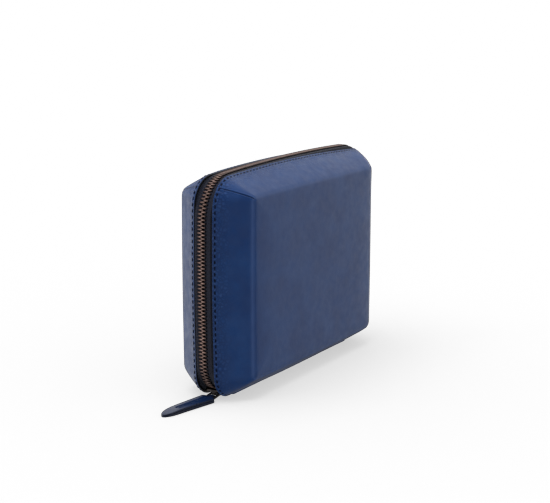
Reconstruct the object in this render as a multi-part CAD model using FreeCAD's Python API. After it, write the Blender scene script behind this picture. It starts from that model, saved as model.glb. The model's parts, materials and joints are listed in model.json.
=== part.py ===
"""Leather jewellery case: two bevelled covers joined by a zip on three sides and by a spine strip below.

X runs along the spine, Y through the case from the front cover to the back cover, and Z up.
The origin is the centre of the underside of the spine strip, which the case stands on. Millimetres.
"""
import FreeCAD, Part
import math
import os

from FreeCAD import Vector

# Overall case
GAP_HALF = 6.5            # half the width between the two covers' sewn edges
FACE_Y = 25.5             # distance of each flat face from the middle
COVER_HALF_WIDTH = 95.2   # covers at their sewn edge, at mid height
COVER_LOW = 0.2
COVER_HIGH = 140.0
FACE_HALF_WIDTH = 77.6    # the flat face inside the bevels
FACE_LOW = 12.9
FACE_HIGH = 126.8
# Bows are how far a side falls back at its corners: side, top left, top right, bottom.
# Radii are the rounded corners: top left, top right, bottom.
COVER_BOWS = (1.6, 3.2, 3.2, 1.8)
COVER_RADII = (19.0, 11.0, 16.0)
FACE_BOWS = (0.5, 0.5, 0.5, 0.5)
FACE_RADII = (3.6, 3.6, 4.0)

# Layers of each cover
LEATHER = 1.2
BOARD = 1.5
LINING = 0.8
LAYER_GAP = 0.05
BEVEL_SPREAD = 1.3        # a layer's width at the sewn edge, over its thickness
FACE_SPREAD = 0.42        # how far a layer's face draws in, over its depth
BOARD_START_Y = 12.0      # the board stops short of the sewn edge, where the zip tape is sewn in
TAPE_SEWN_Y = 11.8

# Zip
CHAIN_BOTTOM_RADIUS = 19.0
CHAIN_BOWS = (1.6, 3.8, 1.2, 0.6)      # the zip stands proud of the covers at the top right
CHAIN_RADII = (26.0, 16.0, CHAIN_BOTTOM_RADIUS)
CORNER_DRAW_X = 0.82      # how far the bowed sides bring the lower rounds in and up
CORNER_DRAW_Z = 0.4
CHAIN_LOW = 5.2           # the chain is set in above the spine strip, so the slider clears the floor
CHAIN_HALF_WIDTH = 95.1
CHAIN_HIGH = 139.6
TAPE = 0.6
TAPE_EDGE_Y = 1.45
TAPE_FLAT_Y = 5.6         # flat under the teeth and through the slider, then it drops to the sewn edge
TAPE_END_X = 68.5
TOOTH_PITCH = 2.25        # on one side; the two sides alternate
CHAIN_STEP = TOOTH_PITCH / 2
TOOTH_LENGTH = 0.95
TOOTH_HEIGHT = 2.5
TOOTH_TIP_Y = 0.55
TOOTH_ROOT_Y = 2.9
TOOTH_SLOT = 0.68
TOOTH_BITE = 0.05         # how far past the tape's edge a slot for it reaches
STOP_BITE = 0.1
FIRST_TOOTH = 1.9         # from the chain's end, clear of the slider's post
STOP_LENGTH = 2.4
TOP_STOP_PAST = 4.9       # past the end of the chain's round, clear of the slider
TOP_STOP_CLEAR = 0.5
STOP_Z = CHAIN_LOW + 0.36  # the chain's height at its ends, where its lower side bows up
CORNER_X = CHAIN_BOTTOM_RADIUS - CHAIN_HALF_WIDTH + CORNER_DRAW_X
CORNER_Z = CHAIN_BOTTOM_RADIUS + CHAIN_LOW + CORNER_DRAW_Z

# Stitching along the sewn edge
STITCH_PITCH = 3.7
STITCH_LENGTH = 2.6
STITCH_WIDTH = 0.55
STITCH_FROM_EDGE = 2.1
STITCH_SUNK = 0.25

# Spine strip
SPINE_HALF_LENGTH = 68.0
SPINE_HALF_WIDTH = 6.3
SPINE_LEATHER = 1.2
SPINE_LINING = 0.8

# Slider, in its own frame: X towards the closed chain, Y across, Z outwards
SLIDER_TURN = 78.0        # where it is parked round the bottom corner, in degrees from the side
SLIDER_HALF_LENGTH = 6.5
SLIDER_HALF_WIDTH = 5.3
PLATE = 1.1
OUTER_PLATE_Z = 1.5
INNER_PLATE_Z = -3.8
FLANGE = 1.2
BRIDGE_HALF_LENGTH = 4.3
BRIDGE_HALF_WIDTH = 1.6
BRIDGE_TOP = 5.0
TUNNEL_HALF_LENGTH = 2.2
TUNNEL_TOP = 4.15
LINK_BAR_Z = 3.35
SLIDER_ROUND = 2.2
LIP_LOW = 0.6
POST_SETBACK = 0.4
POST_LENGTH = 2.8
POST_HALF_WIDTH = 1.2
BRIDGE_SUNK = 0.3
BRIDGE_ROUND = 1.4

# Pull link and leather pull tab
LINK_WIRE = 0.6
LINK_HALF_WIDTH = 2.9
TAB_BAR_X = -88.0
TAB_BAR_Z = 1.55
TAB_EYE = 0.68
TAB_START_X = -86.3
TAB_START_Y = -1.0
TAB_LENGTH = 44.0
TAB_HALF_WIDTH = 5.35
TAB_TURN = 9.0
TAB_LAYER = 1.48
TAB_UNDERSIDE = 0.05
TAB_NOTCH_HALF = 0.85
TAB_NOTCH_END_X = -89.6
TAB_TIP = 8.0             # length of the rounded tip
TAB_TAPER = 1.7           # how much each side narrows towards the tip

# Fittings inside
INSIDE_Y = 21.75          # the lining's inner face, less a hair
DIVIDER_TOP_Y = 8.5
DIVIDER = 2.0
ROLL_RADIUS = 4.6
ROLL_PITCH = 9.4
ROLL_COUNT = 5
ROLL_FIRST_X = -69.0
ROLL_LOW = 19.0
ROLL_HIGH = 119.0
ROLL_BASE = 0.8
ROLL_ROUND = 1.5
DIVIDER_ROUND = 0.9
DIVIDER_X = -24.5
SHORT_X = 25.0
CROSS_Z = 70.0
TRAY_LOW = 17.0
TRAY_HIGH = 122.0
TRAY_RIGHT = 74.0
FRAME_HALF_WIDTH = 62.0
FRAME_LOW = 74.0
FRAME_HIGH = 121.0
FRAME_THICK = 2.3
FRAME_BORDER = 5.0
FRAME_LIP = 1.6
FRAME_ROUND = 4.0
GLASS = 1.2
POCKET_HALF_WIDTH = 68.0
POCKET_LOW = 19.0
POCKET_HIGH = 62.0
POCKET_THICK = 3.4
POCKET_WALL = 0.9
POCKET_ROUND = 5.0
ELASTIC_WIDTH = 4.0
ELASTIC_THICK = 1.4

Y_AXIS = Vector(0, 1, 0)
ORIGIN = Vector(0, 0, 0)
REACH = 300.0             # further than anything in the case
TOUCH = 0.01              # places closer than this count as the same
SLAB = 1.0                # thickness of the block an outline is rounded on


def box(x0, y0, z0, x1, y1, z1):
    return Part.makeBox(x1 - x0, y1 - y0, z1 - z0, Vector(x0, y0, z0))


def mirrored(shape):
    """The same shape on the other half of the case."""
    return shape.mirror(ORIGIN, Y_AXIS)


def outline(y, half_width, low, high, bows, radii):
    """A closed wire in the plane at y, with bowed sides and rounded corners.

    The bows are (side, top left, top right, bottom) and the radii are (top left, top right, bottom).
    """
    side_bow, left_bow, right_bow, bottom_bow = bows
    corner_x = half_width - side_bow
    middle = (low + high) / 2
    corners = [Vector(-corner_x, y, low + bottom_bow), Vector(-corner_x, y, high - left_bow),
               Vector(corner_x, y, high - right_bow), Vector(corner_x, y, low + bottom_bow)]
    crests = [Vector(-half_width, y, middle), Vector(0, y, high),
              Vector(half_width, y, middle), Vector(0, y, low)]
    sides = [Part.Arc(corners[i], crests[i], corners[(i + 1) % 4]).toShape() for i in range(4)]
    block = Part.Face(Part.Wire(sides)).extrude(Y_AXIS * -SLAB)
    left, right, bottom = radii
    for corner, radius in zip(corners, (bottom, left, right, bottom)):
        block = block.makeFillet(radius, edges_at(block, corner))
    return next(f for f in block.Faces if abs(f.CenterOfMass.y - y) < TOUCH).OuterWire


def edges_at(block, corner):
    """The edge across a block's thickness at one corner."""
    return [e for e in block.Edges if abs(e.BoundBox.YLength - SLAB) < TOUCH
            and math.hypot(e.CenterOfMass.x - corner.x, e.CenterOfMass.z - corner.z) < TOUCH]


def sewn_edge(y, inset):
    """A cover's outline at its sewn edge, drawn in by inset."""
    return outline(y, COVER_HALF_WIDTH - inset, COVER_LOW + inset, COVER_HIGH - inset,
                   COVER_BOWS, [r - inset for r in COVER_RADII])


def face_edge(depth):
    """The outline of a cover's flat face, depth below its outer surface."""
    inset = depth * FACE_SPREAD
    return outline(depth - FACE_Y, FACE_HALF_WIDTH - inset, FACE_LOW + inset, FACE_HIGH - inset,
                   FACE_BOWS, [r - inset for r in FACE_RADII])


def chain_line(y, outset):
    """The line the middle of the zip chain follows, moved outwards by outset."""
    return outline(y, CHAIN_HALF_WIDTH + outset, CHAIN_LOW - outset, CHAIN_HIGH + outset,
                   CHAIN_BOWS, [r + outset for r in CHAIN_RADII])


def ruled(*wires):
    return Part.makeLoft(list(wires), True, True)


def cover_solid(depth):
    """The front cover's outside form, taken in by depth."""
    return ruled(sewn_edge(-GAP_HALF, depth * BEVEL_SPREAD), face_edge(depth))


def cover_layer(depth, thickness, start_y=GAP_HALF):
    """One layer of the front cover: a bevelled tray whose rim begins start_y from the middle."""
    layer = cover_solid(depth).cut(cover_solid(depth + thickness))
    if start_y > GAP_HALF:
        layer = layer.cut(box(-REACH, -start_y, -REACH, REACH, 0, 2 * REACH))
    return layer


def front_tape():
    """One side of the zip tape: sewn in under the leather, then sloping out, then flat under the teeth."""
    rim_out = (LEATHER + LAYER_GAP) * BEVEL_SPREAD
    rim_in = (LEATHER + LAYER_GAP + TAPE) * BEVEL_SPREAD
    outer = ruled(sewn_edge(-GAP_HALF, rim_out), chain_line(-TAPE_FLAT_Y, TAPE / 2),
                  chain_line(-TAPE_EDGE_Y, TAPE / 2))
    inner = ruled(sewn_edge(-GAP_HALF, rim_in), chain_line(-TAPE_FLAT_Y, -TAPE / 2),
                  chain_line(-TAPE_EDGE_Y, -TAPE / 2))
    sewn = cover_layer(LEATHER + LAYER_GAP, TAPE)
    sewn = sewn.common(box(-REACH, -TAPE_SEWN_Y, -REACH, REACH, 0, 2 * REACH))
    tape = outer.cut(inner).fuse(sewn)
    return tape.cut(box(-TAPE_END_X, -REACH, -REACH, TAPE_END_X, 0, FACE_LOW * 2)).removeSplitter()


def chain_points(start):
    """Points half a pitch apart along the chain, from its lower left end to its lower right end."""
    wire = chain_line(0, 0)
    run = [e for e in wire.Edges if not is_spine_side(e)]
    path = Part.Wire(Part.__sortEdges__(run))
    points = path.discretize(Distance=CHAIN_STEP)
    if points[0].x > 0:
        points.reverse()
    skip = round(start / CHAIN_STEP)
    return points[skip:len(points) - skip]


def is_spine_side(edge):
    return edge.CenterOfMass.z < CHAIN_LOW + CHAIN_BOWS[-1] and abs(edge.CenterOfMass.x) < 1.0


def on_chain(shape, point, along):
    """Moves a shape from its own frame (X along the chain, Y across, Z outwards) to a place on the chain."""
    placed = shape.copy()
    turn = math.degrees(math.atan2(-along.z, along.x))
    placed.Placement = FreeCAD.Placement(point, FreeCAD.Rotation(Y_AXIS, turn)).multiply(placed.Placement)
    return placed


def clamp(length, tip_y):
    """A metal clamp gripping the tape's edge: a tooth, or a stop."""
    h, s = TOOTH_HEIGHT / 2, TOOTH_SLOT / 2
    slot_y = TAPE_EDGE_Y - TOOTH_BITE
    profile = [(tip_y, -h), (tip_y, h), (-TOOTH_ROOT_Y, h), (-TOOTH_ROOT_Y, s), (-slot_y, s),
               (-slot_y, -s), (-TOOTH_ROOT_Y, -s), (-TOOTH_ROOT_Y, -h)]
    points = [Vector(-length / 2, y, z) for y, z in profile]
    return Part.Face(Part.makePolygon(points + points[:1])).extrude(Vector(length, 0, 0))


def teeth(side):
    """One side's teeth as separate solids. The two sides take alternate points of the chain."""
    tooth = clamp(TOOTH_LENGTH, TOOTH_TIP_Y)
    if side > 0:
        tooth = mirrored(tooth)
    points = chain_points(FIRST_TOOTH)
    first = 1 if side < 0 else 2
    placed = [on_chain(tooth, points[i], points[i + 1] - points[i - 1])
              for i in range(first, len(points) - 1, 2)]
    return Part.makeCompound(placed)


def stitches():
    """The thread showing along the front cover's sewn edge, as separate stitches."""
    share = STITCH_FROM_EDGE / math.hypot(FACE_Y - GAP_HALF, COVER_HALF_WIDTH - FACE_HALF_WIDTH)
    depth_y = GAP_HALF + share * (FACE_Y - GAP_HALF)
    inset = share * (COVER_HALF_WIDTH - FACE_HALF_WIDTH)
    bevel = math.degrees(math.atan2(COVER_HALF_WIDTH - FACE_HALF_WIDTH, FACE_Y - GAP_HALF))
    wire = sewn_edge(-depth_y, inset)
    points = Part.Wire(Part.__sortEdges__(wire.Edges)).discretize(Distance=STITCH_PITCH)
    stitch = Part.makeBox(STITCH_LENGTH, STITCH_WIDTH, 2 * STITCH_SUNK,
                          Vector(-STITCH_LENGTH / 2, -STITCH_WIDTH / 2, -STITCH_SUNK))
    stitch.rotate(ORIGIN, Vector(1, 0, 0), bevel)
    placed = []
    for i in range(1, len(points) - 1):
        along = points[i + 1] - points[i - 1]
        if not (abs(points[i].x) < TAPE_END_X and points[i].z < FACE_LOW):
            placed.append(on_chain(stitch, points[i], clockwise(points[i], along)))
    return Part.makeCompound(placed)


def clockwise(point, along):
    """The direction along an outline, turned to run clockwise as seen from the front."""
    middle = Vector(0, 0, (COVER_LOW + COVER_HIGH) / 2)
    arm = point - middle
    return along if arm.z * along.x - arm.x * along.z > 0 else along * -1


def chain_at(turn):
    """The place and direction on the chain's lower left round, turn degrees from the side."""
    angle = math.radians(turn)
    centre = corner_centre()
    point = centre + Vector(-math.cos(angle), 0, -math.sin(angle)) * CHAIN_BOTTOM_RADIUS
    return point, Vector(-math.sin(angle), 0, math.cos(angle))


def corner_centre():
    """The centre of the chain's lower left round, which the slider turns about."""
    return Vector(CORNER_X, 0, CORNER_Z)


def slider_body():
    """Two plates joined by the post that parts the chain, with a lip down each side of the outer plate."""
    length, width = SLIDER_HALF_LENGTH, SLIDER_HALF_WIDTH
    outer = box(-length, -width, OUTER_PLATE_Z, length, width, OUTER_PLATE_Z + PLATE)
    inner = box(-length, -width, INNER_PLATE_Z, length, width, INNER_PLATE_Z + PLATE)
    plates = outer.fuse(inner)
    upright = [e for e in plates.Edges if abs(e.Vertexes[0].Z - e.Vertexes[-1].Z) > PLATE / 2]
    plates = plates.makeFillet(SLIDER_ROUND, upright)
    lips = [box(-length + SLIDER_ROUND, s * width - FLANGE * (s > 0), LIP_LOW,
                length - SLIDER_ROUND, s * width + FLANGE * (s < 0), OUTER_PLATE_Z) for s in (-1, 1)]
    post = box(-length + POST_SETBACK, -POST_HALF_WIDTH, INNER_PLATE_Z + PLATE / 2,
               -length + POST_SETBACK + POST_LENGTH, POST_HALF_WIDTH, OUTER_PLATE_Z + PLATE / 2)
    return plates.fuse(lips + [post]).removeSplitter()


def slider_bridge():
    """The arch over the outer plate that carries the pull link."""
    foot = OUTER_PLATE_Z + PLATE - BRIDGE_SUNK
    length, width = BRIDGE_HALF_LENGTH, BRIDGE_HALF_WIDTH
    arch = box(-length, -width, foot, length, width, BRIDGE_TOP)
    ends = [e for e in arch.Edges if e.BoundBox.YLength > width and e.CenterOfMass.z > BRIDGE_TOP - TOUCH]
    arch = arch.makeFillet(BRIDGE_ROUND, ends)
    tunnel = box(-TUNNEL_HALF_LENGTH, -REACH, OUTER_PLATE_Z, TUNNEL_HALF_LENGTH, REACH, TUNNEL_TOP)
    return arch.cut(tunnel)


def on_slider(shape):
    return on_chain(shape, *chain_at(SLIDER_TURN))


def crown_bar():
    """The middle of the link's bar inside the bridge."""
    point, along = chain_at(SLIDER_TURN)
    outwards = Vector(-along.z, 0, along.x)
    return point + outwards * LINK_BAR_Z


def pull_link():
    """A closed wire loop: one bar through the bridge, two arms, one bar through the tab's eye."""
    near, far = crown_bar(), Vector(TAB_BAR_X, 0, TAB_BAR_Z)
    side = Vector(0, LINK_HALF_WIDTH, 0)
    corners = [near - side, near + side, far + side, far - side]
    rods = []
    for i, start in enumerate(corners):
        run = corners[(i + 1) % 4] - start
        rods.append(Part.makeCylinder(LINK_WIRE, run.Length, start, run))
        rods.append(Part.makeSphere(LINK_WIRE, start))
    return rods[0].multiFuse(rods[1:]).removeSplitter()


def tab_outline(z):
    """The pull tab seen from above: square at the eye, tapering to a rounded tip."""
    half = TAB_HALF_WIDTH
    tip = Part.Arc(Vector(-TAB_LENGTH + TAB_TIP, half - TAB_TAPER, z), Vector(-TAB_LENGTH, 0, z),
                   Vector(-TAB_LENGTH + TAB_TIP, TAB_TAPER - half, z)).toShape()
    run = [Vector(-TAB_LENGTH + TAB_TIP, TAB_TAPER - half, z), Vector(0, -half, z),
           Vector(0, half, z), Vector(-TAB_LENGTH + TAB_TIP, half - TAB_TAPER, z)]
    return Part.Wire([tip] + [Part.makeLine(a, b) for a, b in zip(run, run[1:])])


def tab_layer(low):
    """One leather layer of the pull tab, with the eye for the link's bar and notches for its arms."""
    layer = Part.Face(tab_outline(low)).extrude(Vector(0, 0, TAB_LAYER))
    layer.rotate(ORIGIN, Vector(0, 0, 1), -TAB_TURN)
    layer.translate(Vector(TAB_START_X, TAB_START_Y, 0))
    layer = layer.cut(Part.makeCylinder(TAB_EYE, 2 * REACH, Vector(TAB_BAR_X, -REACH, TAB_BAR_Z), Y_AXIS))
    for side in (-1, 1):
        y = side * LINK_HALF_WIDTH
        layer = layer.cut(box(TAB_NOTCH_END_X, y - TAB_NOTCH_HALF, -REACH, 0, y + TAB_NOTCH_HALF, REACH))
    return layer


def bottom_stop():
    """The stop that ties both tapes together at the far end of the chain."""
    h, s = TOOTH_HEIGHT / 2, TOOTH_SLOT / 2
    block = box(-STOP_LENGTH / 2, -TOOTH_ROOT_Y, -h, STOP_LENGTH / 2, TOOTH_ROOT_Y, h)
    for side in (-1, 1):
        edges = sorted((side * (TAPE_EDGE_Y - STOP_BITE), side * REACH))
        block = block.cut(box(-REACH, edges[0], -s, REACH, edges[1], s))
    block.translate(Vector(-CORNER_X - STOP_LENGTH / 2, 0, STOP_Z))
    return block


def top_stop():
    """The stop clamped on the front tape at the parked end of the chain, just beyond the slider."""
    stop = clamp(STOP_LENGTH, -TOP_STOP_CLEAR)
    stop.translate(Vector(CORNER_X + TOP_STOP_PAST, 0, STOP_Z))
    return stop


def mirror_frame():
    """A leather frame round the mirror: a window in front, and a wider recess behind for the glass."""
    y = -INSIDE_Y
    frame = box(-FRAME_HALF_WIDTH, y, FRAME_LOW, FRAME_HALF_WIDTH, y + FRAME_THICK, FRAME_HIGH)
    upright = [e for e in frame.Edges if e.BoundBox.YLength > FRAME_THICK / 2]
    frame = frame.makeFillet(FRAME_ROUND, upright)
    m = FRAME_BORDER
    window = box(m - FRAME_HALF_WIDTH, -REACH, FRAME_LOW + m, FRAME_HALF_WIDTH - m, 0, FRAME_HIGH - m)
    m -= FRAME_LIP
    recess = box(m - FRAME_HALF_WIDTH, -REACH, FRAME_LOW + m, FRAME_HALF_WIDTH - m,
                 y + GLASS + 2 * LAYER_GAP, FRAME_HIGH - m)
    return frame.cut(window).cut(recess)


def mirror_glass():
    m = FRAME_BORDER - FRAME_LIP + LAYER_GAP
    y = LAYER_GAP - INSIDE_Y
    return box(m - FRAME_HALF_WIDTH, y, FRAME_LOW + m, FRAME_HALF_WIDTH - m, y + GLASS, FRAME_HIGH - m)


def pocket_panel():
    """A flat pocket on the lid, open along its upper edge."""
    y = -INSIDE_Y
    bag = box(-POCKET_HALF_WIDTH, y, POCKET_LOW, POCKET_HALF_WIDTH, y + POCKET_THICK, POCKET_HIGH)
    lower = [e for e in bag.Edges if e.BoundBox.YLength > POCKET_THICK / 2 and e.BoundBox.ZMax < POCKET_HIGH]
    bag = bag.makeFillet(POCKET_ROUND, lower)
    w = POCKET_WALL
    return bag.cut(box(POCKET_ROUND - POCKET_HALF_WIDTH, y + w, POCKET_LOW + POCKET_ROUND,
                       POCKET_HALF_WIDTH - POCKET_ROUND, y + POCKET_THICK - w, POCKET_HIGH + w))


def pocket_elastic():
    """The gathered elastic edge along the pocket's mouth."""
    y = POCKET_THICK - POCKET_WALL - INSIDE_Y
    z = POCKET_HIGH + LAYER_GAP
    return box(-POCKET_HALF_WIDTH, y, z, POCKET_HALF_WIDTH, y + ELASTIC_THICK, z + ELASTIC_WIDTH)


def divider(x0, z0, x1, z1):
    """An upright padded wall in the tray, with its free edge rounded."""
    wall = box(x0, DIVIDER_TOP_Y, z0, x1, INSIDE_Y, z1)
    crest = [e for e in wall.Edges if abs(e.CenterOfMass.y - DIVIDER_TOP_Y) < TOUCH
             and max(e.BoundBox.XLength, e.BoundBox.ZLength) > 2 * DIVIDER]
    return wall.makeFillet(DIVIDER_ROUND, crest)


def ring_rolls():
    """Padded rolls side by side, which grip rings between them."""
    y = INSIDE_Y - ROLL_BASE - LAYER_GAP - ROLL_RADIUS
    rolls = []
    for i in range(ROLL_COUNT):
        foot = Vector(ROLL_FIRST_X + i * ROLL_PITCH, y, ROLL_LOW)
        roll = Part.makeCylinder(ROLL_RADIUS, ROLL_HIGH - ROLL_LOW, foot)
        rolls.append(roll.makeFillet(ROLL_ROUND, roll.Edges[:1] + roll.Edges[2:]))
    return Part.makeCompound(rolls)


def ring_roll_base():
    left = ROLL_FIRST_X - ROLL_RADIUS
    right = ROLL_FIRST_X + (ROLL_COUNT - 1) * ROLL_PITCH + ROLL_RADIUS
    return box(left, INSIDE_Y - ROLL_BASE, ROLL_LOW, right, INSIDE_Y, ROLL_HIGH)


def spine_strip(low, thickness):
    length, width = SPINE_HALF_LENGTH, SPINE_HALF_WIDTH
    return box(-length, -width, low, length, width, low + thickness)


def covers():
    """Each layer of the front cover, and its mirror image for the back."""
    board = LEATHER + LAYER_GAP
    lining = board + BOARD + LAYER_GAP
    front = {
        "leather": cover_layer(0, LEATHER),
        "board": cover_layer(board, BOARD, BOARD_START_Y),
        "lining": cover_layer(lining, LINING),
        "zip_tape": front_tape(),
        "stitching": stitches(),
        "top_stop": top_stop(),
    }
    nodes = {}
    for name, shape in front.items():
        nodes["front_" + name] = shape
        nodes["back_" + name] = mirrored(shape)
    nodes["front_zip_teeth"] = teeth(-1)
    nodes["back_zip_teeth"] = teeth(1)
    return nodes


def spine_and_zip_end():
    return {
        "spine_leather": spine_strip(0, SPINE_LEATHER),
        "spine_lining": spine_strip(SPINE_LEATHER + LAYER_GAP, SPINE_LINING),
        "zip_bottom_stop": bottom_stop(),
    }


def zip_pull():
    return {
        "slider_body": on_slider(slider_body()),
        "slider_bridge": on_slider(slider_bridge()),
        "pull_link": pull_link(),
        "tab_lower": tab_layer(TAB_UNDERSIDE),
        "tab_upper": tab_layer(TAB_UNDERSIDE + TAB_LAYER + LAYER_GAP),
    }


def lid_fittings():
    return {
        "mirror_frame": mirror_frame(),
        "mirror_glass": mirror_glass(),
        "pocket_panel": pocket_panel(),
        "pocket_elastic": pocket_elastic(),
    }


def tray_fittings():
    wall = DIVIDER / 2
    return {
        "ring_rolls": ring_rolls(),
        "ring_roll_base": ring_roll_base(),
        "long_divider": divider(DIVIDER_X - wall, TRAY_LOW, DIVIDER_X + wall, TRAY_HIGH),
        "cross_divider": divider(DIVIDER_X + wall, CROSS_Z - wall, TRAY_RIGHT, CROSS_Z + wall),
        "short_divider": divider(SHORT_X - wall, CROSS_Z + wall, SHORT_X + wall, TRAY_HIGH),
    }


def main():
    os.makedirs("parts", exist_ok=True)
    for group in (spine_and_zip_end(), covers(), zip_pull(), lid_fittings(), tray_fittings()):
        for node, shape in group.items():
            shape.exportStep("parts/" + node + ".step")


main()
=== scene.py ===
"""Looks for the leather jewellery case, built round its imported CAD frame.

Lengths in the mesh code are millimetres, in the frame's own axes: X along the spine, Y from the front cover
to the back cover, Z up. They become metres when a mesh is made.
"""

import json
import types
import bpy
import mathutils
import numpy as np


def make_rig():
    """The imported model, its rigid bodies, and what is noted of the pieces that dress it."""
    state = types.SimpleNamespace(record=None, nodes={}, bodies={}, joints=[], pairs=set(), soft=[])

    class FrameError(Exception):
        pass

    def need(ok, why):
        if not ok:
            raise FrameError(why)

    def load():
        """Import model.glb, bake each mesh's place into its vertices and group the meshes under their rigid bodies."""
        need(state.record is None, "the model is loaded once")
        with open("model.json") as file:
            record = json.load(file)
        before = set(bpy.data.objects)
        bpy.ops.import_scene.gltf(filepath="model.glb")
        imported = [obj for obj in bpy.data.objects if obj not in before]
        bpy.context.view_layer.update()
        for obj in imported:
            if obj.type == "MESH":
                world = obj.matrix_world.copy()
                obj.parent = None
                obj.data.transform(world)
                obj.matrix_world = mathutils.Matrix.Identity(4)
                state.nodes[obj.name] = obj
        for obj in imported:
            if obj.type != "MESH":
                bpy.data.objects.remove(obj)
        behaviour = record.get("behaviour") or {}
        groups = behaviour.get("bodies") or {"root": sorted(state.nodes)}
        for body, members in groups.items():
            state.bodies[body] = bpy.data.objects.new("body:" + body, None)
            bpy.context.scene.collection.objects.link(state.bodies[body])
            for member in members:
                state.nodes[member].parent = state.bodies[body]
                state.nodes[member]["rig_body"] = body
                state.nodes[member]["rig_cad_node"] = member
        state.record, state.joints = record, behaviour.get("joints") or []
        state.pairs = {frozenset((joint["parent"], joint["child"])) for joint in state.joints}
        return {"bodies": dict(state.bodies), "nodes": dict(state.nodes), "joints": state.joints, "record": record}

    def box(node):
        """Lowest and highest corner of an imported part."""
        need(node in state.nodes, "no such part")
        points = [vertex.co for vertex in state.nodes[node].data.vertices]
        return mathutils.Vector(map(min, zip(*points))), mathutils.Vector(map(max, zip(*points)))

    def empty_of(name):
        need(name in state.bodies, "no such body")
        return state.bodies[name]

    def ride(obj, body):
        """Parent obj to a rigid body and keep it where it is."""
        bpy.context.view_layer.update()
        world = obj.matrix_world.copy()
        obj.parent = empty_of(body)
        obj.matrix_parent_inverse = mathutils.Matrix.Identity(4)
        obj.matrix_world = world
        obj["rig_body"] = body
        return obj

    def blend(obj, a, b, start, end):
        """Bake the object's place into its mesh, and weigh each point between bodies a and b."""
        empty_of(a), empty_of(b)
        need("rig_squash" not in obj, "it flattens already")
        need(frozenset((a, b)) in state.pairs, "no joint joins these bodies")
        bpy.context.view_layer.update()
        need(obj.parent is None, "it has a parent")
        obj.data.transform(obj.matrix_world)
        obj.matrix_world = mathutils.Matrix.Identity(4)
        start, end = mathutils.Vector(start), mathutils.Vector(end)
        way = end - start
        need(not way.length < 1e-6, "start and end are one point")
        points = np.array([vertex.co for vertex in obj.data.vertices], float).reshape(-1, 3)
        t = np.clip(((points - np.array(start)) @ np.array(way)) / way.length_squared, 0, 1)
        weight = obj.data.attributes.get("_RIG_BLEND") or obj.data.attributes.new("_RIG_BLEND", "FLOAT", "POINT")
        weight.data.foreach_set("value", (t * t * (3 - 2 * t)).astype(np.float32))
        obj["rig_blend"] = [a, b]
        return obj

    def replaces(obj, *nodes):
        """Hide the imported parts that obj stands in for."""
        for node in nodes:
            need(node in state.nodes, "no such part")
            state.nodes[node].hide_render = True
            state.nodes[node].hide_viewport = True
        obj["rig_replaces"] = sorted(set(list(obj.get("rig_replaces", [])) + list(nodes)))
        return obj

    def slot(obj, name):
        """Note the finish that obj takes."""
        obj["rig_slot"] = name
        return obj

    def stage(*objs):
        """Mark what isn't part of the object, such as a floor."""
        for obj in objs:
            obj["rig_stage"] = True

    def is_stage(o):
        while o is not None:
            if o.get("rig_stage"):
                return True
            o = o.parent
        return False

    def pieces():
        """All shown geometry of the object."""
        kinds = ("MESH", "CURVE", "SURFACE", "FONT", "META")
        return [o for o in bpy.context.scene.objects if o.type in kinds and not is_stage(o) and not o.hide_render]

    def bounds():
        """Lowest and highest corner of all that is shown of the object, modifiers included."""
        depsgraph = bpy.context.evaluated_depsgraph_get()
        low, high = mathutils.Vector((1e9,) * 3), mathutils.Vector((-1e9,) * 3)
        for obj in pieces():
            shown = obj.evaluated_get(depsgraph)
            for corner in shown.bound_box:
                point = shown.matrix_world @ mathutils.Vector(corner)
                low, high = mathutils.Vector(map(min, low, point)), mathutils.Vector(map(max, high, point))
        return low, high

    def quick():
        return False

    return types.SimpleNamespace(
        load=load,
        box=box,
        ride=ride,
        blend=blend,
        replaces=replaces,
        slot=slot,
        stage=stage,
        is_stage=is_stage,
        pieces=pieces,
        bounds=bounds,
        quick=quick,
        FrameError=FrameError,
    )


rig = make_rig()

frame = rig.load()

import json
import math

import bmesh
import bpy
import numpy as np
from mathutils import Matrix, Vector

CAD_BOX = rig.bounds()
MM = 0.001


def box_mm(node):
    """A CAD node's lowest and highest corners in millimetres."""
    low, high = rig.box(node)
    return np.array(low) / MM, np.array(high) / MM


def vertex_array(mesh):
    return np.array([v.co for v in mesh.vertices])


# ---------------------------------------------------------------- measures taken from the frame

COVER_LO, COVER_HI = box_mm("front_leather")
FACE = vertex_array(frame["nodes"]["front_leather"].data) / MM
FACE = FACE[FACE[:, 1] < COVER_LO[1] + 0.01]
RIM_Y = -COVER_HI[1]
FACE_Y = -COVER_LO[1]
SEWN = {"half": COVER_HI[0], "low": COVER_LO[2], "high": COVER_HI[2],
        "bows": (1.6, 3.2, 3.2, 1.8), "radii": (19.0, 11.0, 16.0)}
FLAT = {"half": FACE[:, 0].max(), "low": FACE[:, 2].min(), "high": FACE[:, 2].max(),
        "bows": (0.5, 0.5, 0.5, 0.5), "radii": (3.6, 3.6, 4.0)}
TAPE_HI = box_mm("front_zip_tape")[1]
TAPE_EDGE_Y = -TAPE_HI[1]
SPINE_LO, SPINE_HI = box_mm("spine_leather")
SPINE_LINING_LO, SPINE_LINING_HI = box_mm("spine_lining")
LEATHER = 1.2
BOARD = 1.6
LINING = 0.8
TAPE = 0.6
CHAIN = {"half": TAPE_HI[0] - TAPE / 2, "low": 5.2, "high": 139.6,
         "bows": (1.6, 3.8, 1.2, 0.6), "radii": (26.0, 16.0, 19.0)}
RIM_SPREAD = 1.3          # a layer's width at the rim, over its thickness
FACE_SPREAD = 0.42        # how far a layer's face draws in, over its depth
BEVEL = math.hypot(FACE_Y - RIM_Y, SEWN["half"] - FLAT["half"])
TAPE_END_X = 68.5         # where the tapes and the stitches stop, each way from the middle
CORNER_EASE = 1.35        # how fast the corners tighten from the sewn edge to the face
FACE_INSET = 3.0          # rings of the face are inset to here, and scaled towards its middle beyond

# ---------------------------------------------------------------- outlines

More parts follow.
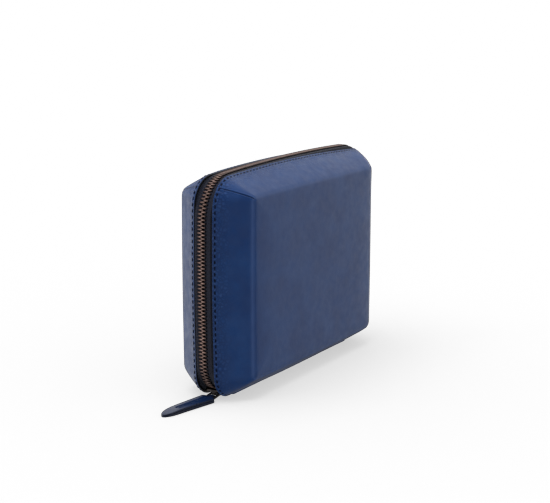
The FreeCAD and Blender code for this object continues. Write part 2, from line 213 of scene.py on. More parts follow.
BOTTOM_POINTS = 90        # half of the bottom side
SIDE_POINTS = 130
TOP_POINTS = 90           # half of the top side
CORNER_POINTS = 60


def circle_through(a, b, c):
    """Centre and radius of the circle through three points."""
    (ax, ay), (bx, by), (cx, cy) = a, b, c
    d = 2 * (ax * (by - cy) + bx * (cy - ay) + cx * (ay - by))
    ux = ((ax**2 + ay**2) * (by - cy) + (bx**2 + by**2) * (cy - ay) + (cx**2 + cy**2) * (ay - by)) / d
    uy = ((ax**2 + ay**2) * (cx - bx) + (bx**2 + by**2) * (ax - cx) + (cx**2 + cy**2) * (bx - ax)) / d
    centre = np.array([ux, uy])
    return centre, float(np.hypot(*(centre - np.array(a))))


def round_centre(first, second, radius, near):
    """Centre of the circle of that radius touching two side circles from inside, nearest to a corner."""
    (c1, r1), (c2, r2) = first, second
    a, b = r1 - radius, r2 - radius
    gap = c2 - c1
    d = float(np.hypot(*gap))
    along = (a * a - b * b + d * d) / (2 * d)
    up = math.sqrt(max(a * a - along * along, 0.0))
    base = c1 + gap * along / d
    side = np.array([-gap[1], gap[0]]) / d * up
    return min((base + side, base - side), key=lambda p: float(np.hypot(*(p - np.array(near)))))


def arc(centre, radius, start, end, steps):
    """Points on a circle from start to end, at the given shares of the way."""
    a0 = math.atan2(*(start - centre)[::-1])
    a1 = math.atan2(*(end - centre)[::-1])
    turn = (a1 - a0 + math.pi) % (2 * math.pi) - math.pi
    angles = a0 + turn * steps
    return centre + radius * np.stack([np.cos(angles), np.sin(angles)], 1)


def outline(half, low, high, bows, radii):
    """A bowed, rounded outline as (x, z) points, clockwise from the middle of the bottom side.

    The bows are (side, top left, top right, bottom) and the radii are (top left, top right, bottom).
    """
    side_bow, left_bow, right_bow, bottom_bow = bows
    corner_x, middle = half - side_bow, (low + high) / 2
    foot, crown = np.array([0.0, low]), np.array([0.0, high])
    low_left, low_right = (-corner_x, low + bottom_bow), (corner_x, low + bottom_bow)
    high_left, high_right = (-corner_x, high - left_bow), (corner_x, high - right_bow)
    bottom = circle_through(low_left, foot, low_right)
    left = circle_through(low_left, (-half, middle), high_left)
    top = circle_through(high_left, crown, high_right)
    right = circle_through(low_right, (half, middle), high_right)
    corners = ((bottom, left, low_left, radii[2]), (left, top, high_left, radii[0]),
               (top, right, high_right, radii[1]), (right, bottom, low_right, radii[2]))
    touches = []
    for first, second, near, radius in corners:
        centre = round_centre(first, second, radius, near)
        pair = [c + (centre - c) / np.hypot(*(centre - c)) * r for c, r in (first, second)]
        touches.append((centre, radius, *pair))
    tight = np.linspace(-1, 1, CORNER_POINTS, endpoint=False)
    tight = (np.sign(tight) * np.abs(tight) ** 1.5 + 1) / 2
    starts = [touch[2] for touch in touches]
    sides = ((left, SIDE_POINTS, [starts[1]]), (top, TOP_POINTS, [crown, starts[2]]),
             (right, SIDE_POINTS, [starts[3]]), (bottom, BOTTOM_POINTS, [foot]))
    runs = [arc(*bottom, foot, starts[0], np.arange(BOTTOM_POINTS) / BOTTOM_POINTS)]
    for (centre, radius, start, end), (side, count, stops) in zip(touches, sides):
        runs.append(arc(centre, radius, start, end, tight))
        for stop in stops:
            runs.append(arc(*side, end, stop, np.arange(count) / count))
            end = stop
    return np.concatenate(runs)


def mix(a, b, t):
    return a + (b - a) * t


def mixed_outline(first, second, t, corner_t):
    """The outline part of the way from one set of measures to another."""
    m = {k: mix(first[k], second[k], t) for k in ("half", "low", "high")}
    bows = tuple(mix(p, q, t) for p, q in zip(first["bows"], second["bows"]))
    radii = tuple(mix(p, q, corner_t) for p, q in zip(first["radii"], second["radii"]))
    return outline(m["half"], m["low"], m["high"], bows, radii)


def inset(measures, amount):
    return {"half": measures["half"] - amount, "low": measures["low"] + amount,
            "high": measures["high"] - amount, "bows": measures["bows"],
            "radii": tuple(max(r - amount, 0.4) for r in measures["radii"])}


def at_y(points, y):
    return np.stack([points[:, 0], np.full(len(points), y), points[:, 1]], 1)


def cover_ring(t, depth):
    """A ring of the front cover: t from its sewn edge to its face, depth below its outer surface."""
    first, second = inset(SEWN, depth * RIM_SPREAD), inset(FLAT, depth * FACE_SPREAD)
    ease = 1 - (1 - t) ** CORNER_EASE
    return at_y(mixed_outline(first, second, t, ease), mix(-RIM_Y, depth - FACE_Y, t))


def face_ring(inward, depth):
    """A ring of the front cover's flat face, drawn in from its edge."""
    near = min(inward, FACE_INSET)
    ring = outline(**inset(FLAT, depth * FACE_SPREAD + near))
    if inward > near:
        middle = np.array([0.0, (FLAT["low"] + FLAT["high"]) / 2])
        reach = (FLAT["high"] - FLAT["low"]) / 2 - near
        ring = middle + (ring - middle) * (1 - (inward - near) / reach)
    return at_y(ring, depth - FACE_Y)


def chain_ring(y, outset):
    return at_y(outline(**inset(CHAIN, -outset)), -y)


# ---------------------------------------------------------------- meshes

def mesh_piece(name, shape, material, attributes=None, side=-1):
    """A smooth-shaded object from points and faces in millimetres, mirrored for the back half (side 1)."""
    points, faces = shape
    data = bpy.data.meshes.new(name)
    data.from_pydata((points * (1, -side, 1) * MM).tolist(), [], faces)
    shell = bmesh.new()
    shell.from_mesh(data)
    bmesh.ops.recalc_face_normals(shell, faces=shell.faces)
    shell.to_mesh(data)
    shell.free()
    data.polygons.foreach_set("use_smooth", [True] * len(data.polygons))
    for key, values in (attributes or {}).items():
        layer = data.attributes.new(key, "FLOAT", "POINT")
        layer.data.foreach_set("value", np.asarray(values, np.float32))
    data.materials.append(material)
    piece = bpy.data.objects.new(name, data)
    bpy.context.scene.collection.objects.link(piece)
    return piece


def grid_faces(rows, columns, closed_columns=True, closed_rows=False):
    """Quads between consecutive rows of points."""
    last_row = rows if closed_rows else rows - 1
    last_column = columns if closed_columns else columns - 1
    faces = []
    for r in range(last_row):
        s = (r + 1) % rows
        for c in range(last_column):
            d = (c + 1) % columns
            faces.append((r * columns + c, r * columns + d, s * columns + d, s * columns + c))
    return faces


def closed_shell(rings):
    """A stack of rings with a fan of triangles over each end, as points and faces."""
    rows, columns = rings.shape[:2]
    points = np.concatenate([rings.reshape(-1, 3), [rings[0].mean(0), rings[-1].mean(0)]])
    faces = grid_faces(rows, columns)
    for centre, start in ((rows * columns, 0), (rows * columns + 1, (rows - 1) * columns)):
        faces += [(centre, start + i, start + (i + 1) % columns) for i in range(columns)]
    return points, faces


def tube(rings):
    """A stack of rings with one flat face over each end, as points and faces."""
    rings = np.array(rings)
    rows, columns = rings.shape[:2]
    ends = [list(range(columns)), list(range((rows - 1) * columns, rows * columns))]
    return rings.reshape(-1, 3), grid_faces(rows, columns) + ends


def full_turn(count):
    return 2 * math.pi * np.arange(count) / count


def grid_normals(grid):
    """Unit normals of a (rows, columns, 3) grid closed along its columns."""
    across = np.roll(grid, -1, 1) - np.roll(grid, 1, 1)
    down = np.gradient(grid, axis=0)
    normal = np.cross(down, across)
    return normal / np.maximum(np.linalg.norm(normal, axis=2, keepdims=True), 1e-9)


def arc_lengths(ring):
    """Distance along a closed ring at each of its points, and its whole length."""
    steps = np.linalg.norm(np.roll(ring, -1, 0) - ring, axis=1)
    return np.concatenate([[0], np.cumsum(steps)[:-1]]), steps.sum()


def ripple(points, seed):
    """A gentle unevenness, some tens of millimetres across, between -1 and 1."""
    rng = np.random.default_rng(seed)
    total = np.zeros(points.shape[:-1])
    for _ in range(6):
        wave = rng.normal(size=3)
        wave *= 2 * math.pi / rng.uniform(28, 70) / np.linalg.norm(wave)
        total += np.sin(points @ wave + rng.uniform(0, 2 * math.pi))
    return total / 6


def bump_at(x, centre, width):
    """A smooth hump of height 1."""
    return np.exp(-((x - centre) / width) ** 2)


def ramp(x, start, end):
    """From 0 at start to 1 at end, and flat beyond them."""
    return np.clip((x - start) / (end - start), 0, 1)


def wave(x, pitch, phase=0.0):
    return np.cos(x * 2 * math.pi / pitch + phase)


# ---------------------------------------------------------------- cover leather

STITCH_PITCH = 3.7
STITCH_FROM_EDGE = 2.1
STITCH_GROOVE = 0.18      # the channel the stitches lie in
PUCKER = 0.20             # rise of the leather between two stitches
RIM_ROLL = 0.12           # rise of the leather outside the stitches, over its turned edge
WELT = 0.10               # and inside them, over the seam allowance
BEVEL_CROWN = 0.35
FACE_CROWN = 0.25
UNEVEN = 0.10             # gentle unevenness of the large areas
CREASE_DIP = 0.40         # the hollow along the crease between bevel and face
EDGE_ROUND = 2.8          # how far that crease is eased each way
DART_GROOVE = 0.30
DART_SWELL = 0.13         # rise of the leather on both sides of a dart
WRINKLE = 0.16            # small folds near a dart
WRINKLE_PITCH = 2.9
GRAIN_REACH = 11.0        # how far the coarse grain runs in from the rim
BACK_FILL = 1.6
BACK_LIP = 0.35
CORNER_FILL = 0.8
BACK_RIM_OUT = 0.8        # how far the back cover's rim rolls out over the zip tape
TOP_LEFT = BOTTOM_POINTS + CORNER_POINTS + SIDE_POINTS + CORNER_POINTS // 2


def corner_distance(grid, index):
    """Signed distance along each ring from the point at index."""
    steps = np.linalg.norm(np.roll(grid, -1, 1) - grid, axis=2)
    total = np.concatenate([np.zeros((len(grid), 1)), np.cumsum(steps, 1)[:, :-1]], 1)
    return total - total[:, index:index + 1]


def leather_profile():
    """The rings of the outer side from the rim to the face's middle, and each one's distance from the rim."""
    distances = [*np.linspace(0.6, 4.6, 17), *np.linspace(5.2, BEVEL - EDGE_ROUND, 20)]
    rings = [cover_ring(s / BEVEL, 0) for s in distances]
    edge = face_ring(0, 0)
    start, end = rings[-1], face_ring(EDGE_ROUND, 0)
    for w in np.linspace(0, 1, 9)[1:]:
        rings.append(start * (1 - w) ** 2 + edge * 2 * w * (1 - w) + end * w * w)
        distances.append(BEVEL - EDGE_ROUND + w * 2 * EDGE_ROUND)
    inward = [3.6, 4.6, 6, 7.5, 10, 13, 17, 21, 26, 31, 36, 41, 46, 50, 53, 55]
    rings += [face_ring(i, 0) for i in inward]
    distances += [BEVEL + i for i in inward]
    return np.array(rings), np.array(distances)


def padding(grid, distance, side):
    """Soft filling under the leather: more of it in the back cover and in the top right corner."""
    s = distance[:, None]
    top_right = corner_distance(grid, len(grid[0]) - TOP_LEFT)
    full = CORNER_FILL * bump_at(top_right, 0, 13.0) * np.sin(ramp(s, 0, BEVEL + 2) * math.pi) ** 0.7
    if side < 0:
        return full
    x, z = grid[0][:, 0], grid[0][:, 2]
    top = ramp(z, 134, 137) * ramp(x, -76, -66) * ramp(x, 40, 0)
    lip = BACK_LIP * top[None, :] * ramp(s, 0, 1.5) * ramp(s, 16, 8)
    return full + BACK_FILL * ramp(s, 0, BEVEL) ** 2 * ramp(s, BEVEL + 16, BEVEL) + lip


def sewn_edge_relief(s, pucker):
    """The stitches' groove, the puckers between them, and the swell on both sides."""
    from_stitch = s - STITCH_FROM_EDGE
    swell = RIM_ROLL * bump_at(s, 0.9, 0.7) + WELT * bump_at(from_stitch, 1.3, 0.8)
    puckered = PUCKER * pucker * bump_at(from_stitch, 0, 0.8)
    return swell + puckered - STITCH_GROOVE * bump_at(from_stitch, 0, 0.42)


def dart_relief(s, d):
    """A dart's seam and the small folds round it, at distance d along the rings. Also their masks."""
    run = ramp(s, 1.9, 2.5) * ramp(s, BEVEL + 0.9, BEVEL - 0.3)
    near = bump_at(d, 0, 7.0) * ramp(s, GRAIN_REACH, 0)
    relief = run * (DART_SWELL * bump_at(abs(d), 0.80, 0.40) - DART_GROOVE * bump_at(d, 0, 0.26))
    relief += WRINKLE * near * wave(d, WRINKLE_PITCH, 1.0) * ramp(s, 0, 2)
    return relief, 0.8 * run * bump_at(d, 0, 0.28), near


def leather_relief(grid, distance, side, seed):
    """How far each point of the outer side stands out, and the masks its material uses."""
    s = distance[:, None]
    along, _ = arc_lengths(grid[np.argmin(abs(distance - STITCH_FROM_EDGE))])
    pucker = wave(along, STITCH_PITCH)[None, :]
    flat = ramp(s, BEVEL + 1, BEVEL + 13)
    large = ramp(s, BEVEL - 1, BEVEL - 3) + flat
    relief = padding(grid, distance, side) + sewn_edge_relief(s, pucker)
    relief += BEVEL_CROWN * np.sin(ramp(s, 0, BEVEL) * math.pi) + FACE_CROWN * flat
    relief += UNEVEN * ripple(grid, seed) * large - CREASE_DIP * np.exp(-abs(s - BEVEL) / 3.0)
    seam, folded = np.zeros(relief.shape), np.zeros(relief.shape)
    for index in (TOP_LEFT, len(grid[0]) - TOP_LEFT):
        stand, sewn, near = dart_relief(s, corner_distance(grid, index))
        relief += stand
        seam, folded = np.maximum(seam, sewn), np.maximum(folded, near)
    # The crease mask paints glints on the mounds between the stitches, and a paler line along the crease, part wear
    # and part painted highlight.
    between = 0.9 * np.clip(pucker, 0, 1) * bump_at(s, STITCH_FROM_EDGE, 0.5)
    masks = {"grain": 0.85 * np.clip(1.15 - s / GRAIN_REACH, 0, 1) + 0.6 * folded,
             "crease": np.maximum(bump_at(s, BEVEL - 0.6, 1.2), between), "seam": seam}
    return relief, masks


def cover_leather(name, side, material, seed):
    """One cover's leather: a closed shell with a sewn groove, darted top corners and a soft crease."""
    grid, distance = leather_profile()
    relief, masks = leather_relief(grid, distance, side, seed)
    grid = grid + grid_normals(grid) * relief[:, :, None]
    inner = [face_ring(i, LEATHER) for i in (50, 30, 10)]
    inner += [cover_ring(t, LEATHER) for t in (1.0, 0.75, 0.5, 0.3, 0.12, 0.03)]
    rim = [cover_ring(*p) for p in ((0.012, 1.1), (0.003, 0.92), (0.0, 0.6), (0.003, 0.28), (0.012, 0.1))]
    rings = np.concatenate([np.array(inner + rim), grid])
    lead = len(inner) + len(rim)
    if side > 0:
        from_rim = np.concatenate([np.full(len(inner) - 1, 9.0), np.zeros(len(rim) + 1), distance])
        rings[:, :, 1] += BACK_RIM_OUT * ramp(from_rim, 4, 0)[:, None] ** 2
    cut = np.zeros(rings.shape[:2])
    cut[len(inner) - 1:lead] = 1
    values = {"cut": cut}
    for key, mask in masks.items():
        values[key] = np.concatenate([np.zeros((lead, rings.shape[1])), mask])
    attributes = {k: np.append(v.ravel(), [v[0, 0], v[-1, 0]]) for k, v in values.items()}
    return mesh_piece(name, closed_shell(rings), material, attributes, side)


HEM_RISE = 0.15


def cover_lining(name, side, material):
    """One cover's lining: thick at the rim, where it is turned in against the tape."""
    board = LEATHER + BOARD
    outer = [face_ring(i, board) for i in (50, 30, 10)]
    outer += [cover_ring(t, d) for t, d in ((1, board), (0.6, board), (0.31, board), (0.27, 2.1), (0.1, 2.0))]
    rim = [cover_ring(t, d) for t, d in ((0.02, 2.05), (0.0, 2.4), (0.0, 3.1), (0.015, 3.5))]
    depth = board + LINING
    inner = [cover_ring(t, depth) for t in (0.05, 0.09, 0.11, 0.13, 0.18, 0.3, 0.5, 0.7, 0.85, 0.95, 1.0)]
    inner += [face_ring(i, depth) for i in (1, 3, 8, 15, 25, 35, 45, 53)]
    rings = np.array(outer + rim + inner)
    hem = len(outer) + len(rim) + 2
    rings[hem] += grid_normals(rings)[hem] * HEM_RISE
    return mesh_piece(name, closed_shell(rings), material, side=side)


# ---------------------------------------------------------------- zip

TAPE_FLAT_Y = {-1: 5.6, 1: 4.9}    # how far out from the zip's middle each tape stays flat
TAPE_CORD_Y = 3.9         # a woven cord beside the teeth
TAPE_STATIONS = (4.6, 4.4, 4.2, 4.0, 3.8, 3.6, 3.4, 3.2, 2.6, 2.0, 1.6)


def tape_rings(flat_y):
    """Rings round the tape's cross-section, from its sewn part out to its free edge and back."""
    middle = LEATHER + 0.05 + TAPE / 2
    rim = inset(SEWN, middle * RIM_SPREAD)

    def station(y, offset):
        if y > RIM_Y:
            return cover_ring((y - RIM_Y) / (FACE_Y - RIM_Y), middle - offset)
        if y > flat_y:
            t = (RIM_Y - y) / (RIM_Y - flat_y)
            t = t * t * (3 - 2 * t)
            return grow(at_y(mixed_outline(rim, CHAIN, t, t), -y), offset)
        return chain_ring(y, offset)

    stations = [11.6, 9.0, 7.0, *np.linspace(RIM_Y, 4.8, 13), *TAPE_STATIONS]
    half = TAPE / 2
    outer = [station(y, half + 0.12 * bump_at(y, TAPE_CORD_Y, 0.45) * (y > 3)) for y in stations]
    edge = [station(TAPE_EDGE_Y + 0.02, o) for o in (0.2, 0.0, -0.2)]
    inner = [station(y, -half) for y in reversed(stations)]
    return np.array(outer + edge + inner)


def across_chain(along):
    """Unit vectors in the XZ plane square to the given directions, pointing outwards."""
    normal = np.stack([-along[:, 2], np.zeros(len(along)), along[:, 0]], 1)
    return normal / np.linalg.norm(normal, axis=1, keepdims=True)


def grow(ring, amount):
    """A ring in an XZ plane moved outwards."""
    return ring + across_chain(np.roll(ring, -1, 0) - np.roll(ring, 1, 0)) * amount


def zip_tape(name, side, material):
    rings = tape_rings(TAPE_FLAT_Y[side])
    count = rings.shape[1]
    first = next(i for i in range(count) if rings[:, i, 0].max() < -TAPE_END_X)
    rings = rings[:, first:count - first + 1]
    rows, columns = rings.shape[:2]
    points = rings.reshape(-1, 3)
    along, _ = arc_lengths(rings[10])
    faces = grid_faces(rows, columns, closed_columns=False, closed_rows=True)
    faces += [[r * columns + c for r in range(rows)] for c in (0, columns - 1)]
    attributes = {"along": np.tile(along, rows), "across": -points[:, 1]}
    return mesh_piece(name, (points, faces), material, attributes, side)


def chain_line():
    """Closely spaced points along the chain from its lower left end to its lower right end."""
    ring = chain_ring(0, 0)
    closed = np.concatenate([ring, ring[:1]])
    first, last = BOTTOM_POINTS, len(ring) - BOTTOM_POINTS
    run = closed[first:last + 1]
    return run, np.append(0, np.cumsum(np.linalg.norm(np.diff(run, axis=0), axis=1)))


def along_line(run, lengths, where):
    """Points and unit directions at distances along a polyline."""
    def at(s):
        return np.stack([np.interp(s, lengths, run[:, k]) for k in range(3)], 1)
    ahead = at(where + 0.4) - at(where - 0.4)
    return at(where), ahead / np.linalg.norm(ahead, axis=1, keepdims=True)


def template(profile, length, bevel):
    """A bevelled bar whose (y, z) profile runs along X, as points and faces."""
    mesh = bmesh.new()
    ends = [[mesh.verts.new((x, y, z)) for y, z in profile] for x in (-length / 2, length / 2)]
    mesh.faces.new(ends[0])
    mesh.faces.new(ends[1][::-1])
    for i in range(len(profile)):
        j = (i + 1) % len(profile)
        mesh.faces.new((ends[0][j], ends[0][i], ends[1][i], ends[1][j]))
    bmesh.ops.recalc_face_normals(mesh, faces=mesh.faces)
    bmesh.ops.bevel(mesh, geom=mesh.edges[:], offset=bevel, segments=3, profile=0.6, affect="EDGES")
    mesh.verts.index_update()
    points = np.array([v.co for v in mesh.verts])
    faces = [[v.index for v in f.verts] for f in mesh.faces]
    mesh.free()
    return points, faces


def placed_copies(points, faces, origins, along, outwards):
    """Copies of a template with X along, Z outwards and Y across, as one set of points and faces."""
    across = np.cross(outwards, along)
    every = (origins[:, None] + points[None, :, :1] * along[:, None]
             + points[None, :, 1:2] * across[:, None] + points[None, :, 2:] * outwards[:, None])
    size = len(points)
    copies = [[i + size * n for i in f] for n in range(len(origins)) for f in faces]
    return every.reshape(-1, 3), copies


TOOTH_PITCH = 2.25
FIRST_TOOTH = 1.9
TOOTH_LENGTH = 0.98
TOOTH_BEVEL = 0.24
TOOTH_HALF_HEIGHT = 1.25
TOOTH_REACH = 3.2
# Half of a jaw, as (y, z): its tip crosses the zip's middle a little and two prongs grip the tape.
TOOTH_HALF = [(0.6, 0.0), (0.6, 0.95), (0.3, 1.2), (-0.9, TOOTH_HALF_HEIGHT), (-2.8, 1.18),
              (-TOOTH_REACH, 0.85), (-TOOTH_REACH, 0.38), (-1.42, 0.36)]


def zip_teeth(name, side, material):
    """One row of teeth. The rows are half a pitch apart, so that they interlock."""
    run, lengths = chain_line()
    step = TOOTH_PITCH / 2
    skip = round(FIRST_TOOTH / step)
    first = skip + (1 if side < 0 else 2)
    where = np.arange(first, int(lengths[-1] // step) - skip, 2) * step
    origins, along = along_line(run, lengths, where)
    profile = TOOTH_HALF + [(y, -z) for y, z in TOOTH_HALF[:0:-1]]
    points, faces = template(profile, TOOTH_LENGTH, TOOTH_BEVEL)
    # The crest mask is where the teeth are coloured bright: rubbed metal and a painted highlight.
    crest = np.clip(points[:, 2] / TOOTH_HALF_HEIGHT, 0, 1) ** 4 * ramp(points[:, 1], -TOOTH_REACH, -2.0)
    copies = placed_copies(points, faces, origins, along, across_chain(along))
    return mesh_piece(name, copies, material, {"crest": np.tile(crest, len(origins))}, side)


STITCH_HALF = 1.22        # half a stitch's length
THREAD = 0.36             # its radius
STITCH_TILT = 5.0
STITCH_SUNK = 0.10


def stitch_template():
    """One stitch: a thick thread that rises out of its hole, runs along and dips into the next."""
    rings, twist = [], []
    angles = full_turn(10)
    for u in np.linspace(-1, 1, 15):
        x = STITCH_HALF * u
        thick = THREAD * math.sqrt(max(1 - abs(u) ** 5, 0.02))
        lift = 0.16 - 0.30 * abs(u) ** 3
        y, z = 1.1 * thick * np.cos(angles), lift + 0.9 * thick * np.sin(angles)
        rings.append(np.stack([np.full(len(angles), x), y, z], 1))
        twist += list(x * 2.4 + angles / (2 * math.pi))
    return (*tube(rings), twist)


def stitching(name, side, material, seed):
    """The stitches along a cover's sewn edge, each a little different."""
    t = STITCH_FROM_EDGE / BEVEL
    ring = cover_ring(t, 0)
    lengths, _ = arc_lengths(ring)
    keep = [i for i, p in enumerate(ring) if abs(p[0]) >= TAPE_END_X or p[2] >= FLAT["low"]]
    run, path = ring[keep[0]:keep[-1] + 1], lengths[keep[0]:keep[-1] + 1]
    first, last = math.ceil(path[0] / STITCH_PITCH + 0.5), math.floor(path[-1] / STITCH_PITCH - 0.5)
    where = (np.arange(first, last + 1) + 0.5) * STITCH_PITCH
    where = where[where < path[-1] - 1.5]
    origins, along = along_line(run, path, where)
    slope = cover_ring(t + 0.02, 0) - ring
    slopes = np.stack([np.interp(where, lengths, slope[:, k]) for k in range(3)], 1)
    outwards = np.cross(along, slopes)
    outwards /= np.linalg.norm(outwards, axis=1, keepdims=True)
    if np.dot(outwards[0], (cover_ring(t, 0.3) - ring)[keep[0]]) > 0:
        outwards = -outwards
    rng = np.random.default_rng(seed)
    tilt = np.radians(STITCH_TILT + rng.normal(0, 1.5, len(where)))[:, None]
    along = along * np.cos(tilt) + np.cross(outwards, along) * np.sin(tilt)
    origins = origins - outwards * (STITCH_SUNK + rng.normal(0, 0.015, len(where))[:, None])
    points, faces, twist = stitch_template()
    copies = placed_copies(points, faces, origins, along, outwards)
    return mesh_piece(name, copies, material, {"along": np.tile(twist, len(origins))}, side)


# ---------------------------------------------------------------- slider, link and tab

WIRE = 0.6                # the link's wire, its radius
WIRE_BEND = 0.9


def pull_link(material):
    """A wire loop with rounded corners, through the slider's bridge and the tab's eye."""
    lo, hi = box_mm("pull_link")
    near = np.array([hi[0] - WIRE, 0, hi[2] - WIRE])
    far = np.array([lo[0] + WIRE, 0, lo[2] + WIRE])
    length = np.linalg.norm(far - near)
    run, side = (far - near) / length, np.array([0.0, 1.0, 0.0])
    reach, away = hi[1] - WIRE - WIRE_BEND, length - WIRE_BEND
    corners = ((WIRE_BEND, -reach, math.pi), (away, -reach, 1.5 * math.pi),
               (away, reach, 0), (WIRE_BEND, reach, 0.5 * math.pi))
    path = []
    for u, v, start in corners:
        for a in np.linspace(start, start + math.pi / 2, 9):
            path.append(near + run * (u + WIRE_BEND * math.cos(a)) + side * (v + WIRE_BEND * math.sin(a)))
    path = np.array(path)
    normal = np.cross(run, side)
    ahead = np.roll(path, -1, 0) - np.roll(path, 1, 0)
    out = np.cross(ahead / np.linalg.norm(ahead, axis=1, keepdims=True), normal)
    angles = full_turn(14)[None, :, None]
    rings = path[:, None] + WIRE * (np.cos(angles) * out[:, None] + np.sin(angles) * normal)
    faces = grid_faces(*rings.shape[:2], closed_rows=True)
    return mesh_piece("pull_ring", (rings.reshape(-1, 3), faces), material)


TAB_TURN = math.radians(9.0)
TAB_LENGTH = 44.0
TAB_HALF = 5.35
TAB_NECKS = (1.15, 1.7)   # half the neck's width, of the lower and the upper layer
TAB_TAPER = 1.9
TAB_TIP = 9.0             # length of the rounded tip
TAB_THIN = (27.0, 0.48)   # from where the tab thins, and by what share at its tip
TAB_START = (-86.3, -1.0)
TAB_SOFT = 0.45           # rounding of its long edges
GROOVE = (0.3, 0.75, 0.62)    # the pressed groove's place across the tab, its width and depth
GROOVE_LIP = (-1.25, 0.5, 0.38)
EYE_RADIUS = 0.72
FLOOR_GAP = 0.05


def tab_half_width(u, neck):
    """Half the tab's width u along it: a neck round the link, square shoulders, a taper and a blunt tip."""
    shoulder = ramp(u, 3.45, 4.95)
    wide = mix(neck, TAB_HALF, math.sin(shoulder * math.pi / 2) ** 0.7)
    wide -= TAB_TAPER * max(u - 4.5, 0) / TAB_LENGTH
    from_tip = max(TAB_LENGTH - u, 0)
    if from_tip < TAB_TIP:
        wide *= (1 - (1 - from_tip / TAB_TIP) ** 2.1) ** (1 / 2.1)
    return max(wide, 0.02)


def tab_section(half):
    """(place across, level from -1 to 1, on the cut edge) round the tab's section."""
    soft = min(TAB_SOFT, half * 0.6)
    across = np.linspace(-1, 1, 33) * (half - soft)
    bends = [math.pi / 2 - math.pi * k / 6 for k in range(1, 6)]
    right = [(half - soft + soft * math.cos(a), math.sin(a), 1.0) for a in bends]
    left = [(-v, -level, edge) for v, level, edge in right]
    return [(v, 1.0, 0.0) for v in across] + right + [(v, -1.0, 0.0) for v in across[::-1]] + left


def pull_tab(name, upper, material):
    """One layer of the pull tab. The upper layer carries a long pressed groove."""
    lo, hi = box_mm("tab_upper" if upper else "tab_lower")
    eye = box_mm("pull_link")[0] + WIRE
    steps = np.concatenate([np.linspace(0, 0.5, 5), np.linspace(0.7, 3.3, 18), np.linspace(3.4, 5.2, 16),
                            np.linspace(5.6, 37, 90), np.linspace(37.2, 43.4, 34),
                            TAB_LENGTH - 0.6 * np.linspace(1, 0.02, 12) ** 2])
    cos, sin = math.cos(TAB_TURN), math.sin(TAB_TURN)
    rings, cut = [], []
    for u in steps:
        half = tab_half_width(u, TAB_NECKS[upper])
        end_ease = math.sqrt(max(1 - max(0.6 - u, 0) ** 2 / 0.36, 0.0)) * 0.5 + 0.5
        thin = 1 - TAB_THIN[1] * max(0, (u - TAB_THIN[0]) / (TAB_LENGTH - TAB_THIN[0])) ** 2
        ring = []
        for v, level, edge in tab_section(half):
            x = TAB_START[0] - u * cos + v * sin
            y = TAB_START[1] + u * sin + v * cos
            low, high = lo[2], hi[2]
            hump = math.sqrt(max(EYE_RADIUS ** 2 - (x - eye[0]) ** 2, 0))
            if hump > 0:
                hump += 0.02
            if upper:
                low = max(low, eye[2] + hump)
                groove = GROOVE[2] * bump_at(v, *GROOVE[:2]) - GROOVE_LIP[2] * bump_at(v, *GROOVE_LIP[:2])
                high -= 0.12 - 0.10 * (1 - (v / max(half, 0.1)) ** 4)
                high -= groove * ramp(u, 6.5, 7.7) * ramp(u, 33, 31.5)
                high -= 0.10 * bump_at(abs(v), half - 1.1, 0.35) * ramp(u, 5, 6)
            else:
                high = min(high, eye[2] - hump)
            centre, reach = (low + high) / 2, (high - low) / 2 * end_ease
            ring.append((x, y, mix(FLOOR_GAP, centre + reach * level, thin)))
            cut.append(edge)
        rings.append(ring)
    return mesh_piece(name, tube(rings), material, {"cut": cut})


# ---------------------------------------------------------------- spine

SPINE_TUCKS = (3.0, 7.5)  # how far its two ends run on under the zip's corners


def spine_half(name, side, lo, hi, material, welt):
    """Half of a strip along the spine, from the middle out to one cover."""
    shares = np.linspace(0, 1, 15)
    y = -shares * hi[1]
    soft = 0.35 * ramp(shares, 0.94, 1)
    crown = hi[2] - soft - welt * bump_at(-y, hi[1] - 1.6, 0.4)
    section = [*zip(y, crown), *zip(y[::-1], (lo[2] + soft)[::-1])]
    middle = (lo[2] + hi[2]) / 2
    first, last = lo[0] - SPINE_TUCKS[0], hi[0] + SPINE_TUCKS[1]
    rings = []
    for x in np.linspace(first, last, 120):
        end = 1 - max(0, first + 0.5 - x, x - last + 0.5) * 0.5
        rings.append([(x, y, mix(middle, z, end)) for y, z in section])
    return mesh_piece(name, tube(rings), material, side=side)


# ---------------------------------------------------------------- padded cloth

SIM_SCALE = 10.0          # the cloth solver is steadier on a larger copy
SIM_FRAMES = 20


def swell(piece, voxel, cap, pressure):
    """Remeshes a closed pad and fills it by a short cloth simulation. No point moves further than cap."""
    piece.data.transform(Matrix.Scale(SIM_SCALE, 4))
    bpy.context.view_layer.objects.active = piece
    piece.select_set(True)
    remesh = piece.modifiers.new("remesh", "REMESH")
    remesh.mode = "VOXEL"
    remesh.voxel_size = voxel * MM * SIM_SCALE
    bpy.ops.object.modifier_apply(modifier="remesh")
    rest = vertex_array(piece.data)
    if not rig.quick():
        cloth = piece.modifiers.new("cloth", "CLOTH")
        cloth.settings.use_pressure = True
        cloth.settings.uniform_pressure_force = pressure
        cloth.settings.effector_weights.gravity = 0
        cloth.settings.quality = 6
        cloth.point_cache.frame_start = 1
        cloth.point_cache.frame_end = SIM_FRAMES
        for f in range(1, SIM_FRAMES + 1):
            bpy.context.scene.frame_set(f)
        bpy.ops.object.modifier_apply(modifier="cloth")
        bpy.context.scene.frame_set(1)
        move = vertex_array(piece.data) - rest
        size = np.linalg.norm(move, axis=1, keepdims=True)
        move *= np.minimum(1, cap * MM * SIM_SCALE / np.maximum(size, 1e-9))
        piece.data.vertices.foreach_set("co", (rest + move).astype(np.float32).ravel())
    smooth = piece.modifiers.new("smooth", "SUBSURF")
    smooth.levels = smooth.render_levels = 1
    bpy.ops.object.modifier_apply(modifier="smooth")
    piece.select_set(False)
    piece.data.transform(Matrix.Scale(1 / SIM_SCALE, 4))
    piece.data.polygons.foreach_set("use_smooth", [True] * len(piece.data.polygons))
    piece.data.update()
    return piece


